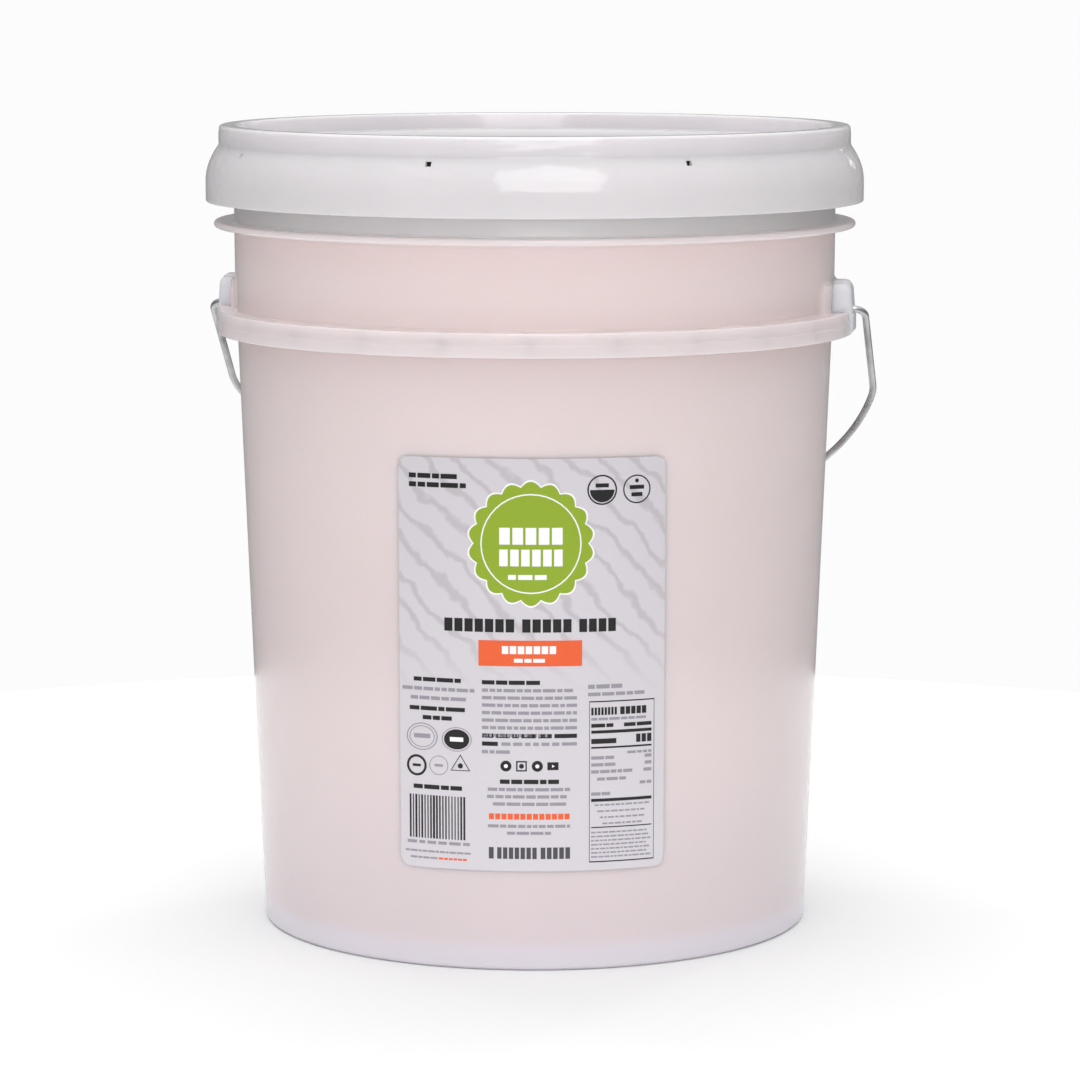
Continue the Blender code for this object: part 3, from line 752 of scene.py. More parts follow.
LABEL_TURN = radians(7.9)
LABEL_WIDTH = 123.2 * MM
LABEL_HEIGHT = label_high.z - label_low.z
LABEL_CORNER = 5.0 * MM
LABEL_LIFT = 0.32 * MM
LABEL_STEPS = 64
WALL_GAP = 0.02 * MM
VARNISH_GRAIN = 2.0 * MM
RIPPLE_PITCH = 16.0 * MM
WAVE_NODE_TURN = 10.0


def on_wall(across, up, lift):
    """A point on the wall, across from the label's middle line and up from its lower edge."""
    z = label_low.z + up
    radius = wall_radius(z)
    angle = LABEL_TURN - pi / 2 + across / radius
    return ((radius + lift) * cos(angle), (radius + lift) * sin(angle), z)


def label_mesh():
    """A thin plate in strips across the label, with its own flat map in metres."""
    half = LABEL_WIDTH / 2
    corner = [LABEL_CORNER * (1.0 - cos(radians(90.0 * step / ARC_STEPS))) for step in range(ARC_STEPS)]
    strip = (LABEL_WIDTH - 2.0 * LABEL_CORNER) / LABEL_STEPS
    straight = [LABEL_CORNER + strip * n for n in range(LABEL_STEPS + 1)]
    places = corner + straight + [LABEL_WIDTH - offset for offset in reversed(corner)]
    bm = bmesh.new()
    flat = bm.loops.layers.uv.new("Label")
    sections = []
    for offset in places:
        reach = max(LABEL_CORNER - min(offset, LABEL_WIDTH - offset), 0.0)
        cut = LABEL_CORNER - (LABEL_CORNER ** 2 - reach ** 2) ** 0.5
        top = LABEL_HEIGHT - cut
        section = []
        for up, lift in ((cut, WALL_GAP), (cut, LABEL_LIFT), (top, LABEL_LIFT), (top, WALL_GAP)):
            section.append((bm.verts.new(on_wall(offset - half, up, lift)), (offset, up)))
        sections.append(section)
    for before, after in zip(sections, sections[1:]):
        for side in range(4):
            other = (side + 1) % 4
            corners = (before[side], after[side], after[other], before[other])
            face = bm.faces.new([vert for vert, spot in corners])
            for loop, (vert, spot) in zip(face.loops, corners):
                loop[flat].uv = spot
    bm.faces.new([vert for vert, spot in sections[0]])
    bm.faces.new([vert for vert, spot in reversed(sections[-1])])
    bmesh.ops.recalc_face_normals(bm, faces=bm.faces)
    return as_mesh(bm, "label_sheet")


# Printed polypropylene film under a satin varnish: an even sheen and a cool, slightly grey
# white, with slanting darker ripples that fade out half way down. Their pitch is taken along
# the label's width, where the wave node turns 10 radians in a unit at scale 1.
label_film, tree, shader = new_material("satin_label_film", IOR=1.48)
flat = add_node(tree, "ShaderNodeUVMap", uv_map="Label").outputs[0]
rings = add_node(
    tree, "ShaderNodeTexWave",
    {"Vector": flat, "Scale": 2.0 * pi / (RIPPLE_PITCH * WAVE_NODE_TURN),
     "Distortion": 5.0, "Detail": 3.0, "Detail Scale": 1.2, "Detail Roughness": 0.55},
    wave_type="BANDS", bands_direction="DIAGONAL",
)
ink_line = add_node(
    tree, "ShaderNodeMapRange", {"Value": rings.outputs["Fac"], "From Min": 0.72, "From Max": 0.98}
)
up = add_node(tree, "ShaderNodeSeparateXYZ", {0: flat}).outputs["Y"]
fade = add_node(
    tree, "ShaderNodeMapRange",
    {"Value": up, "From Min": 0.40 * LABEL_HEIGHT, "From Max": 0.62 * LABEL_HEIGHT, "To Max": 0.55},
    interpolation_type="SMOOTHSTEP",
)
ink_share = add_node(
    tree, "ShaderNodeMath", {0: ink_line.outputs[0], 1: fade.outputs[0]}, operation="MULTIPLY"
)
paper = add_node(
    tree, "ShaderNodeMix",
    {"Factor": ink_share.outputs[0], "A": srgb("#d5d1d7"), "B": srgb("#b4adb3")},
    data_type="RGBA",
)
tree.links.new(paper.outputs["Result"], shader.inputs["Base Color"])
varnish = add_node(
    tree, "ShaderNodeTexNoise", {"Vector": flat, "Scale": 1.0 / VARNISH_GRAIN, "Detail": 2.0}
)
gloss = add_node(
    tree, "ShaderNodeMapRange", {"Value": varnish.outputs[0], "To Min": 0.36, "To Max": 0.44}
)
tree.links.new(gloss.outputs[0], shader.inputs["Roughness"])
hang("label_sheet", label_mesh(), label_film, "pail_body", "label_film", "label")


# Print. Flat inks laid on the film by rollers, as bars, blocks, plain rings and discs and a
# scalloped seal. Their places and sizes are in mm, from the middle of the label's lower edge.

INK_LIFT = LABEL_LIFT + 0.01 * MM
INK_DEPTH = 0.05 * MM
INK_GRAIN = 0.8 * MM
INK_STRIP = 2.0
OUTLINE_WELD = 0.002
STRIP_WELD = 0.01
MARK_SIDES = 40
SHORT_WORD = 1.4
LONG_WORD = 4.2
SHORTEST_END = 1.2


def bar(left, right, low, high):
    """The corners of an upright rectangle."""
    return [(left, low), (right, low), (right, high), (left, high)]


def oval(x, y, half_width, half_height):
    """Points round an oval."""
    spots = circle(0.0, 0.0, 1.0, MARK_SIDES)
    return [(x + half_width * across, y + half_height * up) for across, up in spots]


def hollow(outline, middle, share):
    """Quads between an outline and a smaller copy of it about its middle."""
    inner = [tuple(m + (c - m) * share for c, m in zip(spot, middle)) for spot in outline]
    quads = []
    for here in range(len(outline)):
        after = (here + 1) % len(outline)
        quads.append([outline[here], outline[after], inner[after], inner[here]])
    return quads


def ring_mark(x, y, radius, line):
    """A ring with a line of a given width."""
    return hollow(circle(x, y, radius, MARK_SIDES), (x, y), 1.0 - line / radius)


def print_mesh(name, shapes, layer=0):
    """Lay flat shapes on the wall as thin closed plates of ink.

    They are cut in upright strips, so that they follow the curve of the wall.
    """
    bm = bmesh.new()
    for shape in shapes:
        bm.faces.new([bm.verts.new((x, y, 0.0)) for x, y in shape])
    bmesh.ops.recalc_face_normals(bm, faces=bm.faces)
    bmesh.ops.remove_doubles(bm, verts=bm.verts, dist=OUTLINE_WELD)
    low = min(vert.co.x for vert in bm.verts)
    high = max(vert.co.x for vert in bm.verts)
    cut = low - low % INK_STRIP + INK_STRIP
    while cut < high:
        everything = bm.verts[:] + bm.edges[:] + bm.faces[:]
        bmesh.ops.bisect_plane(bm, geom=everything, plane_co=(cut, 0.0, 0.0), plane_no=(1.0, 0.0, 0.0))
        cut += INK_STRIP
    bmesh.ops.remove_doubles(bm, verts=bm.verts, dist=STRIP_WELD)
    top = bmesh.ops.extrude_face_region(bm, geom=bm.faces[:])["geom"]
    for vert in [part for part in top if isinstance(part, bmesh.types.BMVert)]:
        vert.co.z = 1.0
    bmesh.ops.recalc_face_normals(bm, faces=bm.faces)
    for vert in bm.verts:
        lift = INK_LIFT + INK_DEPTH * (layer + vert.co.z)
        vert.co = on_wall(vert.co.x * MM, vert.co.y * MM, lift)
    return as_mesh(bm, name)


def ink(name, code, grain_share=0.06):
    """A flexographic ink: flat colour, a little uneven where the film took it less."""
    material, tree, shader = new_material(name, IOR=1.48, Roughness=0.42)
    place = add_node(tree, "ShaderNodeTexCoord").outputs["Object"]
    take = add_node(
        tree, "ShaderNodeTexNoise", {"Vector": place, "Scale": 1.0 / INK_GRAIN, "Detail": 3.0}
    )
    dark = add_node(
        tree, "ShaderNodeMapRange",
        {"Value": take.outputs[0], "To Min": 1.0 - grain_share, "To Max": 1.0 + grain_share},
    )
    colour = add_node(
        tree, "ShaderNodeMix", {"Factor": 1.0, "A": srgb(code), "B": dark.outputs[0]},
        data_type="RGBA", blend_type="MULTIPLY",
    )
    tree.links.new(colour.outputs["Result"], shader.inputs["Base Color"])
    return material


def lay_ink(name, shapes, material, layer=0):
    """Print shapes in one ink; layer 1 lies on top of layer 0."""
    return hang(name, print_mesh(name, shapes, layer), material, "pail_body", "label_film")


black_ink = ink("black_ink", "#1b191b")
grey_ink = ink("grey_ink", "#9a96a0")
green_ink = ink("green_ink", "#92ae2a")
orange_ink = ink("orange_ink", "#ee6333")
white_ink = ink("white_ink", "#fcfcfc", 0.02)

draw = random.Random(7)


def words(left, right, middle, height, gap_share=0.45):
    """A line of words as bars, broken at random places."""
    shapes = []
    start = left
    while right - start > height:
        length = height * draw.uniform(SHORT_WORD, LONG_WORD)
        end = min(start + length, right)
        if right - end < height * SHORTEST_END:
            end = right
        shapes.append(bar(start, end, middle - height / 2, middle + height / 2))
        start = end + height * gap_share
    return shapes


def lines(*rows):
    """Lines of words, each as (left, right, middle, height, gap)."""
    return [shape for row in rows for shape in words(*row)]


def blocks(left, right, low, high, count, gap):
    """A heavy line as upright blocks with a small gap between them."""
    step = (right - left + gap) / count
    return [bar(left + n * step, left + (n + 1) * step - gap, low, high) for n in range(count)]


# Heading, in heavy blocks, over an orange band, with a scalloped green seal above them.
heavy = []
for left, right, count in ((-39.6, -7.8, 7), (-4.2, 17.8, 5), (21.3, 38.0, 4)):
    heavy += blocks(left, right, 109.6, 115.6, count, 0.9)
lay_ink("print_heading", heavy, black_ink)
lay_ink("print_band", [bar(-23.9, 22.6, 94.2, 105.9)], orange_ink)
band_words = blocks(-13.3, 10.9, 99.8, 103.4, 7, 0.7)
band_words += words(-7.9, 5.9, 96.8, 1.7)
lay_ink("print_band_words", band_words, white_ink, 1)

SEAL_MIDDLE = (-0.3, 149.7)
SEAL_RADIUS = 27.6
SEAL_LOBES = 18
LOBE_STEPS = 12
SEAL_WAVE = 1.25


def seal(radius):
    """Points round a scalloped edge."""
    spots = []
    sides = SEAL_LOBES * LOBE_STEPS
    for n in range(sides):
        angle = 2.0 * pi * n / sides
        reach = radius + SEAL_WAVE * abs(sin(angle * SEAL_LOBES / 2.0)) * 2.0 - SEAL_WAVE
        spots.append((SEAL_MIDDLE[0] + reach * cos(angle), SEAL_MIDDLE[1] + reach * sin(angle)))
    return spots


lay_ink("print_seal_edge", hollow(seal(SEAL_RADIUS), SEAL_MIDDLE, 0.972), white_ink)
lay_ink("print_seal", [seal(SEAL_RADIUS * 0.97)], green_ink)
seal_words = ring_mark(*SEAL_MIDDLE, 22.6, 0.6)
seal_words += blocks(-14.4, 13.8, 149.4, 157.0, 5, 1.1)
seal_words += blocks(-14.4, 13.8, 139.6, 147.2, 6, 1.1)
seal_words += words(-10.5, 9.9, 134.6, 2.2)
lay_ink("print_seal_words", seal_words, white_ink, 1)

# Two short lines at the upper left, and two round marks at the upper right.
upper = lines((-56.3, -33.5, 179.5, 2.2, 0.35), (-56.3, -29.4, 175.5, 2.2, 0.35))
upper += ring_mark(31.6, 173.7, 6.8, 0.7)
upper += [arc((31.6, 173.7), 5.6, 180.0, 360.0, 18), bar(28.6, 34.6, 174.8, 176.6)]
upper += ring_mark(47.7, 173.6, 6.5, 0.6)
upper += [bar(44.3, 51.1, 173.6, 175.4), bar(45.1, 50.3, 170.3, 172.1), circle(47.7, 177.4, 0.9, 20)]
lay_ink("print_upper", upper, black_ink)

# Left column: short centred lines, five plain marks and, in the next section, the stripes.
left_bold = lines(
    (-54.5, -32.0, 86.9, 1.9, 0.35), (-56.6, -30.2, 73.6, 1.9, 0.35),
    (-50.2, -36.3, 69.4, 1.9, 0.35), (-54.9, -31.7, 37.4, 2.0, 0.35),
)
left_bold += ring_mark(-53.3, 47.1, 4.9, 1.1)
left_bold += [oval(-34.1, 60.0, 5.9, 4.6)]
left_bold += hollow([(-32.4, 53.2), (-37.0, 45.6), (-27.8, 45.6)], (-32.4, 48.1), 0.86)
left_bold += [circle(-32.4, 47.9, 1.2, 20), bar(-55.3, -51.3, 46.5, 47.7)]
lay_ink("print_left", left_bold, black_ink)
lay_ink("print_left_mark", [bar(-37.2, -31.0, 59.0, 61.0)], white_ink, 1)
left_light = lines((-60.2, -25.8, 82.6, 1.6), (-56.1, -29.7, 78.4, 1.6))
for half_width, half_height in ((7.6, 6.3), (6.2, 5.0)):
    left_light += hollow(oval(-50.6, 60.5, half_width, half_height), (-50.6, 60.5), 0.93)
left_light += [bar(-54.6, -46.6, 59.8, 61.8)]
left_light += hollow(oval(-34.1, 60.0, 7.0, 5.6), (-34.1, 60.0), 0.94)
left_light += ring_mark(-42.6, 47.6, 4.5, 0.35)
left_light += [bar(-44.6, -40.6, 47.0, 48.2)]
left_light += lines((-58.1, -28.1, 11.7, 1.4, 0.8), (-59.1, -27.7, 7.5, 0.9), (-56.6, -43.4, 4.5, 0.9))
lay_ink("print_left_light", left_light, grey_ink)


# Stripes. A block of upright bars of uneven width, set side by side by one rule.

STRIPE_COUNT = 19
STRIPES_LEFT = -56.5
STRIPES_RIGHT = -29.2
STRIPES_LOW = 13.6
STRIPES_HIGH = 33.6
STRIPE_THIN = 0.45
STRIPE_THICK = 1.05
STRIPE_SEED = 4

stripe_sizes = {
    "Count": ("NodeSocketInt", STRIPE_COUNT),
    "Left": ("NodeSocketFloat", STRIPES_LEFT),
    "Pitch": ("NodeSocketFloat", (STRIPES_RIGHT - STRIPES_LEFT) / STRIPE_COUNT),
    "Height": ("NodeSocketFloat", STRIPES_HIGH - STRIPES_LOW),
    "Thin": ("NodeSocketFloat", STRIPE_THIN),
    "Thick": ("NodeSocketFloat", STRIPE_THICK),
    "Seed": ("NodeSocketInt", STRIPE_SEED),
}
group, given, result = new_group("row_of_stripes", stripe_sizes)
stripe = add_node(group, "GeometryNodeMeshCube", {"Size": (1.0, 1.0, 1.0)})
start = add_node(
    group, "ShaderNodeCombineXYZ", {0: given["Left"], 1: (STRIPES_LOW + STRIPES_HIGH) / 2, 2: 0.5}
)
pitch = add_node(group, "ShaderNodeCombineXYZ", {0: given["Pitch"]})
stations = add_node(
    group, "GeometryNodeMeshLine",
    {"Count": given["Count"], "Start Location": start.outputs[0], "Offset": pitch.outputs[0]},
)
width = add_node(
    group, "FunctionNodeRandomValue", {2: given["Thin"], 3: given["Thick"], "Seed": given["Seed"]},
    data_type="FLOAT",
)
stripe_scale = add_node(
    group, "ShaderNodeCombineXYZ", {0: width.outputs[1], 1: given["Height"], 2: 1.0}
)
row = add_node(
    group, "GeometryNodeInstanceOnPoints",
    {"Points": stations.outputs[0], "Instance": stripe.outputs["Mesh"],
     "Scale": stripe_scale.outputs[0]},
)
real = add_node(group, "GeometryNodeRealizeInstances", {"Geometry": row.outputs[0]})
painted = add_node(
    group, "GeometryNodeSetMaterial", {"Geometry": real.outputs[0], "Material": black_ink}
)
group.links.new(painted.outputs[0], result.inputs[0])
stripe_mesh = grown_mesh("print_stripes", group, {"Seed": STRIPE_SEED})
for vert in stripe_mesh.vertices:
    vert.co = on_wall(vert.co.x * MM, vert.co.y * MM, INK_LIFT + INK_DEPTH * vert.co.z)
hang("print_stripes", stripe_mesh, black_ink, "pail_body", "label_film")

# Middle column: a paragraph, four small marks, centred lines and one heavy line below.
centre_bold = lines(
    (-22.4, 3.7, 86.7, 1.9, 0.35), (-22.4, 20.3, 62.3, 1.9, 0.6),
    (-22.4, -15.2, 58.6, 1.9, 0.35), (-14.3, 12.2, 41.3, 2.0, 0.35),
)
centre_bold += [circle(x, 48.5, 2.5, 28) for x in (-11.6, 2.5)]
centre_bold += hollow(bar(-7.0, -2.2, 46.1, 50.9), (-4.6, 48.5), 0.74)
centre_bold += [circle(-4.6, 48.5, 1.1, 20), bar(7.0, 12.0, 46.7, 50.3)]
lay_ink("print_centre", centre_bold, black_ink)
volume = []
for left, right, count, gap in ((-19.4, -17.2, 1, 0.5), (-15.6, 2.2, 7, 0.7), (4.0, 17.2, 5, 0.7)):
    volume += blocks(left, right, 5.7, 11.0, count, gap)
lay_ink("print_volume", volume, ink("dark_grey_ink", "#4c4a50"))
icon_marks = [circle(-11.6, 48.5, 0.9, 20), circle(2.5, 48.5, 0.9, 20), circle(9.5, 48.5, 0.8, 3)]
lay_ink("print_centre_marks", icon_marks, white_ink, 1)
centre_light = []
for line in range(7):
    end = 20.3 if line < 6 else 7.0
    centre_light += words(-22.4, end, 83.1 - 3.42 * line, 1.5)
centre_light += lines(
    (-13.6, 20.3, 58.6, 1.5, 0.8), (-22.4, -9.8, 54.9, 1.5), (-19.8, 17.2, 37.7, 1.5),
    (-20.2, 17.6, 34.4, 1.5), (-17.5, 15.4, 31.0, 1.5), (-19.8, 17.2, 20.8, 1.4),
    (-11.2, 8.6, 17.6, 1.4),
)
lay_ink("print_centre_light", centre_light, grey_ink)
orange_words = blocks(-19.3, 17.0, 23.9, 26.6, 13, 0.55)
orange_words += words(-42.8, -29.5, 4.5, 0.9)
lay_ink("print_orange_words", orange_words, orange_ink)

# Right column: a framed table with heavy rules between its lines.
table_rules = hollow(bar(25.9, 56.6, 3.6, 77.9), (41.25, 40.75), 0.985)
for right, low, high in ((55.3, 63.0, 64.4), (55.4, 31.6, 33.0), (55.3, 56.1, 56.9), (55.4, 19.5, 20.0)):
    table_rules.append(bar(26.8, right, low, high))
table_rules += blocks(26.8, 38.6, 71.4, 74.9, 8, 0.5) + blocks(40.2, 52.6, 71.4, 74.9, 5, 0.5)
table_rules += blocks(47.8, 55.2, 58.2, 62.0, 3, 0.6)
table_rules += lines(
    (26.8, 38.4, 59.4, 2.3, 0.3), (26.8, 37.0, 66.6, 1.7, 0.35), (42.0, 55.2, 66.6, 1.7, 0.35)
)
lay_ink("print_table", table_rules, black_ink)
table_light = lines(
    (25.3, 41.1, 84.5, 1.9, 0.35), (25.3, 51.7, 81.0, 1.6), (26.8, 54.2, 69.6, 1.2),
    (43.6, 55.3, 53.8, 1.2),
)
for middle, left_end, right_start in ((51.8, 37.4, 52.0), (48.6, 38.0, 52.0), (45.4, 46.0, 51.4)):
    table_light += lines((26.8, left_end, middle, 1.5, 0.35), (right_start, 55.3, middle, 1.5, 0.35))
table_light += lines((26.8, 35.6, 35.2, 1.5, 0.35), (29.5, 43.0, 42.0, 1.4), (49.6, 55.3, 39.6, 1.4))
for line in range(4):
    table_light += words(28.4 + 1.2 * line, 54.2 - 1.2 * line, 30.0 - 2.85 * line, 0.8, 0.7)
for line in range(7):
    table_light += words(26.8, 55.4 - draw.uniform(0.0, 3.0), 17.4 - 1.88 * line, 0.75, 0.6)
lay_ink("print_table_light", table_light, grey_ink)


# Bail. Zinc-plated steel wire, 3.3 mm thick, drawn, cut and bent to a loop: pegs in the ears,
# tight bends, straight legs that clear the lid and one long bow. It leans on the wall behind.

WIRE_RADIUS = 1.65 * MM
WIRE_END = 143.2 * MM
BAIL_LEG_TOP = 156.2 * MM
BAIL_LEG_END = 157.0 * MM
BAIL_BEND = 6.0 * MM
BAIL_KNEE_CUT = 4.7 * MM
BOW_RADIUS = 160.8 * MM
BOW_DROP = 31.8 * MM
BAIL_LEAN = radians(49.7)
WIRE_SIDES = 20
BOW_STEPS = 110
KNEE_STEPS = 6
PEG_STEP = 0.5 * MM
PEG_CHAMFER = 0.4 * MM
BEND_LEAD = 2.0 * MM
LEG_STEPS = 6


def bail_route():
    """Points of (width, drop) from one end of the wire to the other."""
    half = [(WIRE_END, 0.0), (WIRE_END + PEG_STEP, 0.0), (BAIL_LEG_TOP - BAIL_BEND - BEND_LEAD, 0.0)]
    half += arc((BAIL_LEG_TOP - BAIL_BEND, BAIL_BEND), BAIL_BEND, -90.0, 0.0, 14)
    start = asin(BAIL_LEG_END / BOW_RADIUS)
    knee = BOW_DROP + BOW_RADIUS * cos(start)
    splay = (BAIL_LEG_END - BAIL_LEG_TOP) / (knee - BAIL_BEND)
    leg_length = knee - BAIL_KNEE_CUT - BAIL_BEND
    for step in range(1, LEG_STEPS + 1):
        along = leg_length * step / LEG_STEPS
        half.append((BAIL_LEG_TOP + splay * along, BAIL_BEND + along))
    above = Vector(half[-1])
    start -= BAIL_KNEE_CUT / BOW_RADIUS
    below = Vector((BOW_RADIUS * sin(start), BOW_DROP + BOW_RADIUS * cos(start)))
    corner = Vector((BAIL_LEG_END, knee))
    for step in range(1, KNEE_STEPS):
        share = step / KNEE_STEPS
        spot = above * (1.0 - share) ** 2 + corner * 2.0 * share * (1.0 - share) + below * share ** 2
        half.append(tuple(spot))
    for step in range(BOW_STEPS // 2 + 1):
        angle = start * (1.0 - 2.0 * step / BOW_STEPS)
        half.append((BOW_RADIUS * sin(angle), BOW_DROP + BOW_RADIUS * cos(angle)))
    return half + [(-width, drop) for width, drop in reversed(half[:-1])]


def in_loop(width, drop, off=0.0):
    """Where a point of the loop lies: width along X, drop down the lean, off square to it."""
    spot = Vector((width, off, -drop))
    spot.rotate(Matrix.Rotation(BAIL_LEAN, 3, "X"))
    return spot + PIVOT


def swept_mesh(name, route, radii, sides):
    """A round tube along a route in the plane of the loop, closed at both ends, with a map."""
    bm = bmesh.new()
    chart = bm.loops.layers.uv.new("Along")
    rings = []
    length = 0.0
    for number, (width, drop) in enumerate(route):
        before = Vector(route[max(number - 1, 0)])
        after = Vector(route[min(number + 1, len(route) - 1)])
        if number:
            length += (Vector((width, drop)) - before).length
        along = (after - before).normalized()
        ring = []
        for side in range(sides):
            angle = 2.0 * pi * side / sides
            reach = radii[number] * cos(angle)
            off = radii[number] * sin(angle)
            ring.append(bm.verts.new(in_loop(width - along.y * reach, drop + along.x * reach, off)))
        rings.append((ring, length))
    for (low, low_at), (high, high_at) in zip(rings, rings[1:]):
        for side in range(sides):
            other = (side + 1) % sides
            face = bm.faces.new((low[side], low[other], high[other], high[side]))
            spots = ((side, low_at), (side + 1, low_at), (side + 1, high_at), (side, high_at))
            for loop, (turned_by, at) in zip(face.loops, spots):
                loop[chart].uv = (turned_by / sides * 2.0 * pi * WIRE_RADIUS, at)
    bm.faces.new(rings[0][0])
    bm.faces.new(list(reversed(rings[-1][0])))
    bmesh.ops.recalc_face_normals(bm, faces=bm.faces)
    return as_mesh(bm, name)


# Zinc plate over drawn wire: bright grey, a little dull, with fine lines from the die that
# run along it and duller patches where it has been handled.
DRAW_LINE = 0.35 * MM
DRAW_DEPTH = 0.03 * MM
PATCH_SIZE = 14.0 * MM

zinc_wire, tree, shader = new_material("zinc_plated_wire", Metallic=1.0)
chart = add_node(tree, "ShaderNodeUVMap", uv_map="Along").outputs[0]
stretch = add_node(tree, "ShaderNodeMapping", {"Vector": chart, "Scale": (1.0 / DRAW_LINE, 12.0, 1.0)})
die_marks = add_node(
    tree, "ShaderNodeTexNoise", {"Vector": stretch.outputs[0], "Scale": 1.0, "Detail": 3.0}
)
patches = mottled(tree, shader, PATCH_SIZE, 3.0, ((0.35, "#9b9c9f"), (0.65, "#c4c5c7")))[1]
gloss = add_node(tree, "ShaderNodeMapRange", {"Value": patches, "To Min": 0.22, "To Max": 0.40})
tree.links.new(gloss.outputs[0], shader.inputs["Roughness"])
scratch = add_node(
    tree, "ShaderNodeBump", {"Height": die_marks.outputs[0], "Distance": DRAW_DEPTH, "Strength": 0.5}
)
tree.links.new(scratch.outputs[0], shader.inputs["Normal"])

route = bail_route()
wire_radii = [WIRE_RADIUS] * len(route)
wire_radii[0] = wire_radii[-1] = WIRE_RADIUS - PEG_CHAMFER
wire_mesh = swept_mesh("bail_wire", route, wire_radii, WIRE_SIDES)
hang("bail_wire", wire_mesh, zinc_wire, "bail_loop", "bail_wire", "bail")


# Grip. A white polyethylene sleeve threaded on the bail before its ends were bent, bowed
# like the wire, with a collar at each end, a slight swell and shallow rings for the fingers.

GRIP_LENGTH = 96.0 * MM
GRIP_RADIUS = 10.4 * MM
GRIP_WAIST = 9.5 * MM
GRIP_COLLAR = 7.0 * MM
GRIP_EDGE = 1.6 * MM
GRIP_BORE = WIRE_RADIUS + 0.3 * MM
GRIP_STEPS = 120
GRIP_SIDES = 48
FINGER_RINGS = 11
FINGER_DEPTH = 0.25 * MM
BORE_STEP = 8


def grip_sections():
    """Places along the grip as (distance from its middle, radius)."""
    half = GRIP_LENGTH / 2
    waist_half = half - GRIP_COLLAR
    collar = arc((GRIP_EDGE - half, GRIP_RADIUS - GRIP_EDGE), GRIP_EDGE, 180.0, 90.0, 6)
    collar.append((-waist_half - GRIP_EDGE / 2, GRIP_RADIUS))
    waist = []
    for step in range(GRIP_STEPS + 1):
        share = 2.0 * step / GRIP_STEPS - 1.0
        swell = (GRIP_RADIUS - GRIP_WAIST) * (1.0 - share * share)
        rings = FINGER_DEPTH * (1.0 - cos(pi * share * FINGER_RINGS)) / 2.0
        waist.append((waist_half * share, GRIP_WAIST + swell - rings))
    return collar + waist + [(-place_at, radius) for place_at, radius in reversed(collar)]


def grip_mesh():
    """Rings of points outside and in the bore, set along the bow of the wire."""
    outside = grip_sections()
    inside = [(place_at, GRIP_BORE) for place_at, radius in reversed(outside[::BORE_STEP])]
    bm = bmesh.new()
    rings = []
    for place_at, radius in outside + inside:
        bow = place_at / BOW_RADIUS
        ring = []
        for side in range(GRIP_SIDES):
            angle = 2.0 * pi * side / GRIP_SIDES
            reach = BOW_RADIUS + radius * cos(angle)
            spot = in_loop(reach * sin(bow), BOW_DROP + reach * cos(bow), radius * sin(angle))
            ring.append(bm.verts.new(spot))
        rings.append(ring)
    for number, ring in enumerate(rings):
        after = rings[(number + 1) % len(rings)]
        for side in range(GRIP_SIDES):
            other = (side + 1) % GRIP_SIDES
            bm.faces.new((ring[side], ring[other], after[other], after[side]))
    bmesh.ops.recalc_face_normals(bm, faces=bm.faces)
    return as_mesh(bm, "grip_sleeve")


# White polyethylene off a spark-eroded mould: a satin skin with a fine grain and no clear glints.
GRAIN_DEPTH = 0.03 * MM

grip_plastic, tree, shader = new_material("satin_white_polyethylene", IOR=1.51)
place = mottled(tree, shader, PATCH_SIZE, 3.0, ((0.3, "#efeeed"), (0.7, "#fbfaf8")))[0]
grain = grainy_gloss(tree, shader, place, 0.38, 0.5)
relief = add_node(tree, "ShaderNodeBump", {"Height": grain, "Distance": GRAIN_DEPTH, "Strength": 0.5})
tree.links.new(relief.outputs[0], shader.inputs["Normal"])
hang("grip_sleeve", grip_mesh(), grip_plastic, "bail_loop", "grip_plastic", "grip")


# Studio. A wide pale floor under a dome of soft light, brightest overhead. Panels in front, low
# down and behind light the matt side of things, two narrow strips behind edge the pail, and two
# cards show only as glints: one on the lid's shoulder, one at its right end.

FLOOR_RADIUS = 0.7
FLOOR_SIDES = 128
FLOOR_PATCH = 1.0 / 3.0

floor_paint, tree, shader = new_material("pale_studio_floor", Roughness=0.9, Specular_IOR_Level=0.2)
mottled(tree, shader, FLOOR_PATCH, 2.0, ((0.3, "#f3f4f4"), (0.7, "#f6f7f7")))

floor_mesh = bpy.data.meshes.new("studio_floor")
floor_edge = [(across, up, 0.0) for across, up in circle(0.0, 0.0, FLOOR_RADIUS, FLOOR_SIDES)]
floor_mesh.from_pydata(floor_edge, [], [tuple(range(FLOOR_SIDES))])
floor_mesh.materials.append(floor_paint)
floor = bpy.data.objects.new("studio_floor", floor_mesh)
bpy.context.scene.collection.objects.link(floor)

VIEW_TURN = radians(8.5)
DOME_TOP = 1.75
DOME_POWER = 3.0
DOME_RIM = 0.27
BACKDROP = 0.975
PANEL_AIM_HEIGHT = 0.25

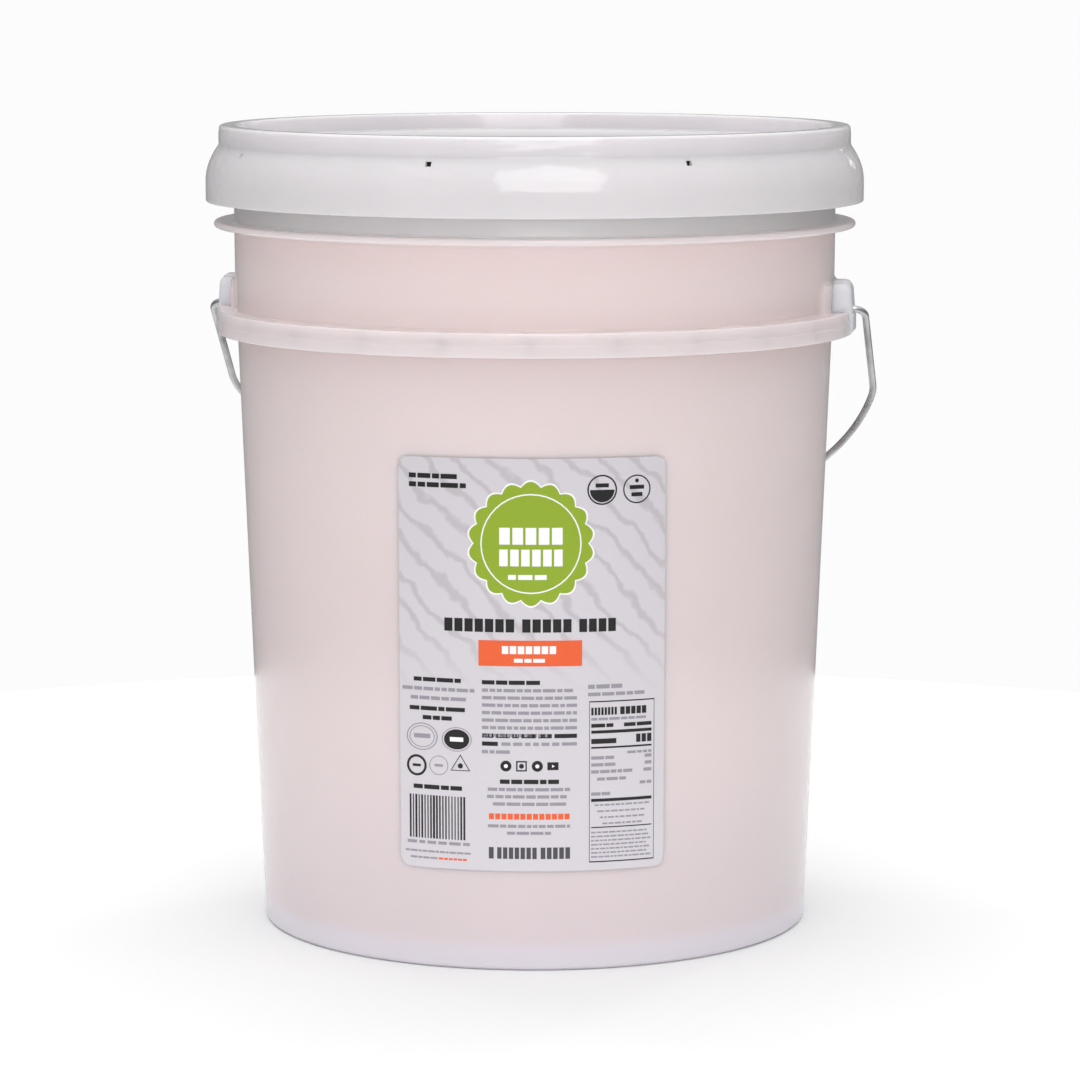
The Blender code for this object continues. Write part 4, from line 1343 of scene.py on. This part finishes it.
world = bpy.data.worlds.new("studio_dome")
world.use_nodes = True
tree = world.node_tree
sky = tree.nodes["Background"]
sky.inputs["Color"].default_value = srgb("#ffffff")
direction = add_node(tree, "ShaderNodeTexCoord").outputs["Generated"]
up = add_node(tree, "ShaderNodeSeparateXYZ", {0: direction}).outputs["Z"]
lifted = add_node(tree, "ShaderNodeMath", {0: up, 1: 0.0}, operation="MAXIMUM")
curve = add_node(tree, "ShaderNodeMath", {0: lifted.outputs[0], 1: DOME_POWER}, operation="POWER")
dome = add_node(
    tree, "ShaderNodeMath", {0: curve.outputs[0], 1: DOME_TOP, 2: DOME_RIM}, operation="MULTIPLY_ADD"
)
seen_by_camera = add_node(tree, "ShaderNodeLightPath").outputs["Is Camera Ray"]
strength = add_node(
    tree, "ShaderNodeMix", {"Factor": seen_by_camera, "A": dome.outputs[0], "B": BACKDROP},
    data_type="FLOAT",
)
tree.links.new(strength.outputs["Result"], sky.inputs["Strength"])
bpy.context.scene.world = world


def add_panel(name, azimuth, elevation, distance, size, power, colour, matt=True, gloss=True):
    """A rectangular light at a compass angle from the camera's side, facing the pail.

    matt says whether it lights surfaces, and gloss whether it shows in reflections.
    """
    data = bpy.data.lights.new(name, "AREA")
    data.shape = "RECTANGLE"
    data.size, data.size_y = size
    data.energy = power
    data.color = srgb(colour)[:3]
    lamp = bpy.data.objects.new(name, data)
    bpy.context.scene.collection.objects.link(lamp)
    turn = VIEW_TURN + azimuth
    out = distance * cos(elevation)
    aim = Vector((0.0, 0.0, PANEL_AIM_HEIGHT))
    lamp.location = aim + Vector((out * sin(turn), -out * cos(turn), distance * sin(elevation)))
    lamp.rotation_euler = (aim - lamp.location).to_track_quat("-Z", "Y").to_euler()
    lamp.visible_diffuse = matt
    lamp.visible_glossy = gloss


add_panel("front_softbox", radians(4.5), radians(19.0), 1.7, (1.1, 1.2), 1.8, "#fffdfd", gloss=False)
add_panel("low_fill", radians(-4.0), radians(3.0), 1.8, (2.6, 0.4), 12.6, "#fffdfd", gloss=False)
add_panel("back_softbox", radians(180.0), radians(60.0), 2.0, (2.0, 1.2), 8.0, "#ffffff", gloss=False)
add_panel("glint_card", radians(4.5), radians(31.0), 1.7, (0.98, 1.35), 11.6, "#ffffff", matt=False)
add_panel("right_streak", radians(147.5), radians(32.0), 1.6, (0.04, 1.4), 0.25, "#ffffff", matt=False)
add_panel("right_strip", radians(142.0), radians(32.0), 1.6, (0.05, 0.8), 1.2, "#ffffff", gloss=False)
add_panel("left_strip", radians(-133.0), radians(32.0), 1.6, (0.05, 0.8), 1.4, "#ffffff", gloss=False)


# Camera. A long lens at standing height, looking down a little, with the ears turned so that
# the right one stands nearer.

CAMERA_DISTANCE = 2.05
CAMERA_HEIGHT = 0.458
CAMERA_TILT = radians(7.74)
CAMERA_PAN = radians(-0.069)
CAMERA_LENS = 144.7

camera_data = bpy.data.cameras.new("camera")
camera_data.lens = CAMERA_LENS
camera_data.sensor_width = 36.0
camera = bpy.data.objects.new("camera", camera_data)
bpy.context.scene.collection.objects.link(camera)
camera.location = (CAMERA_DISTANCE * sin(VIEW_TURN), -CAMERA_DISTANCE * cos(VIEW_TURN), CAMERA_HEIGHT)
camera.rotation_euler = (pi / 2 - CAMERA_TILT, 0.0, VIEW_TURN + CAMERA_PAN)
bpy.context.scene.camera = camera
bpy.context.scene.view_settings.view_transform = "Standard"
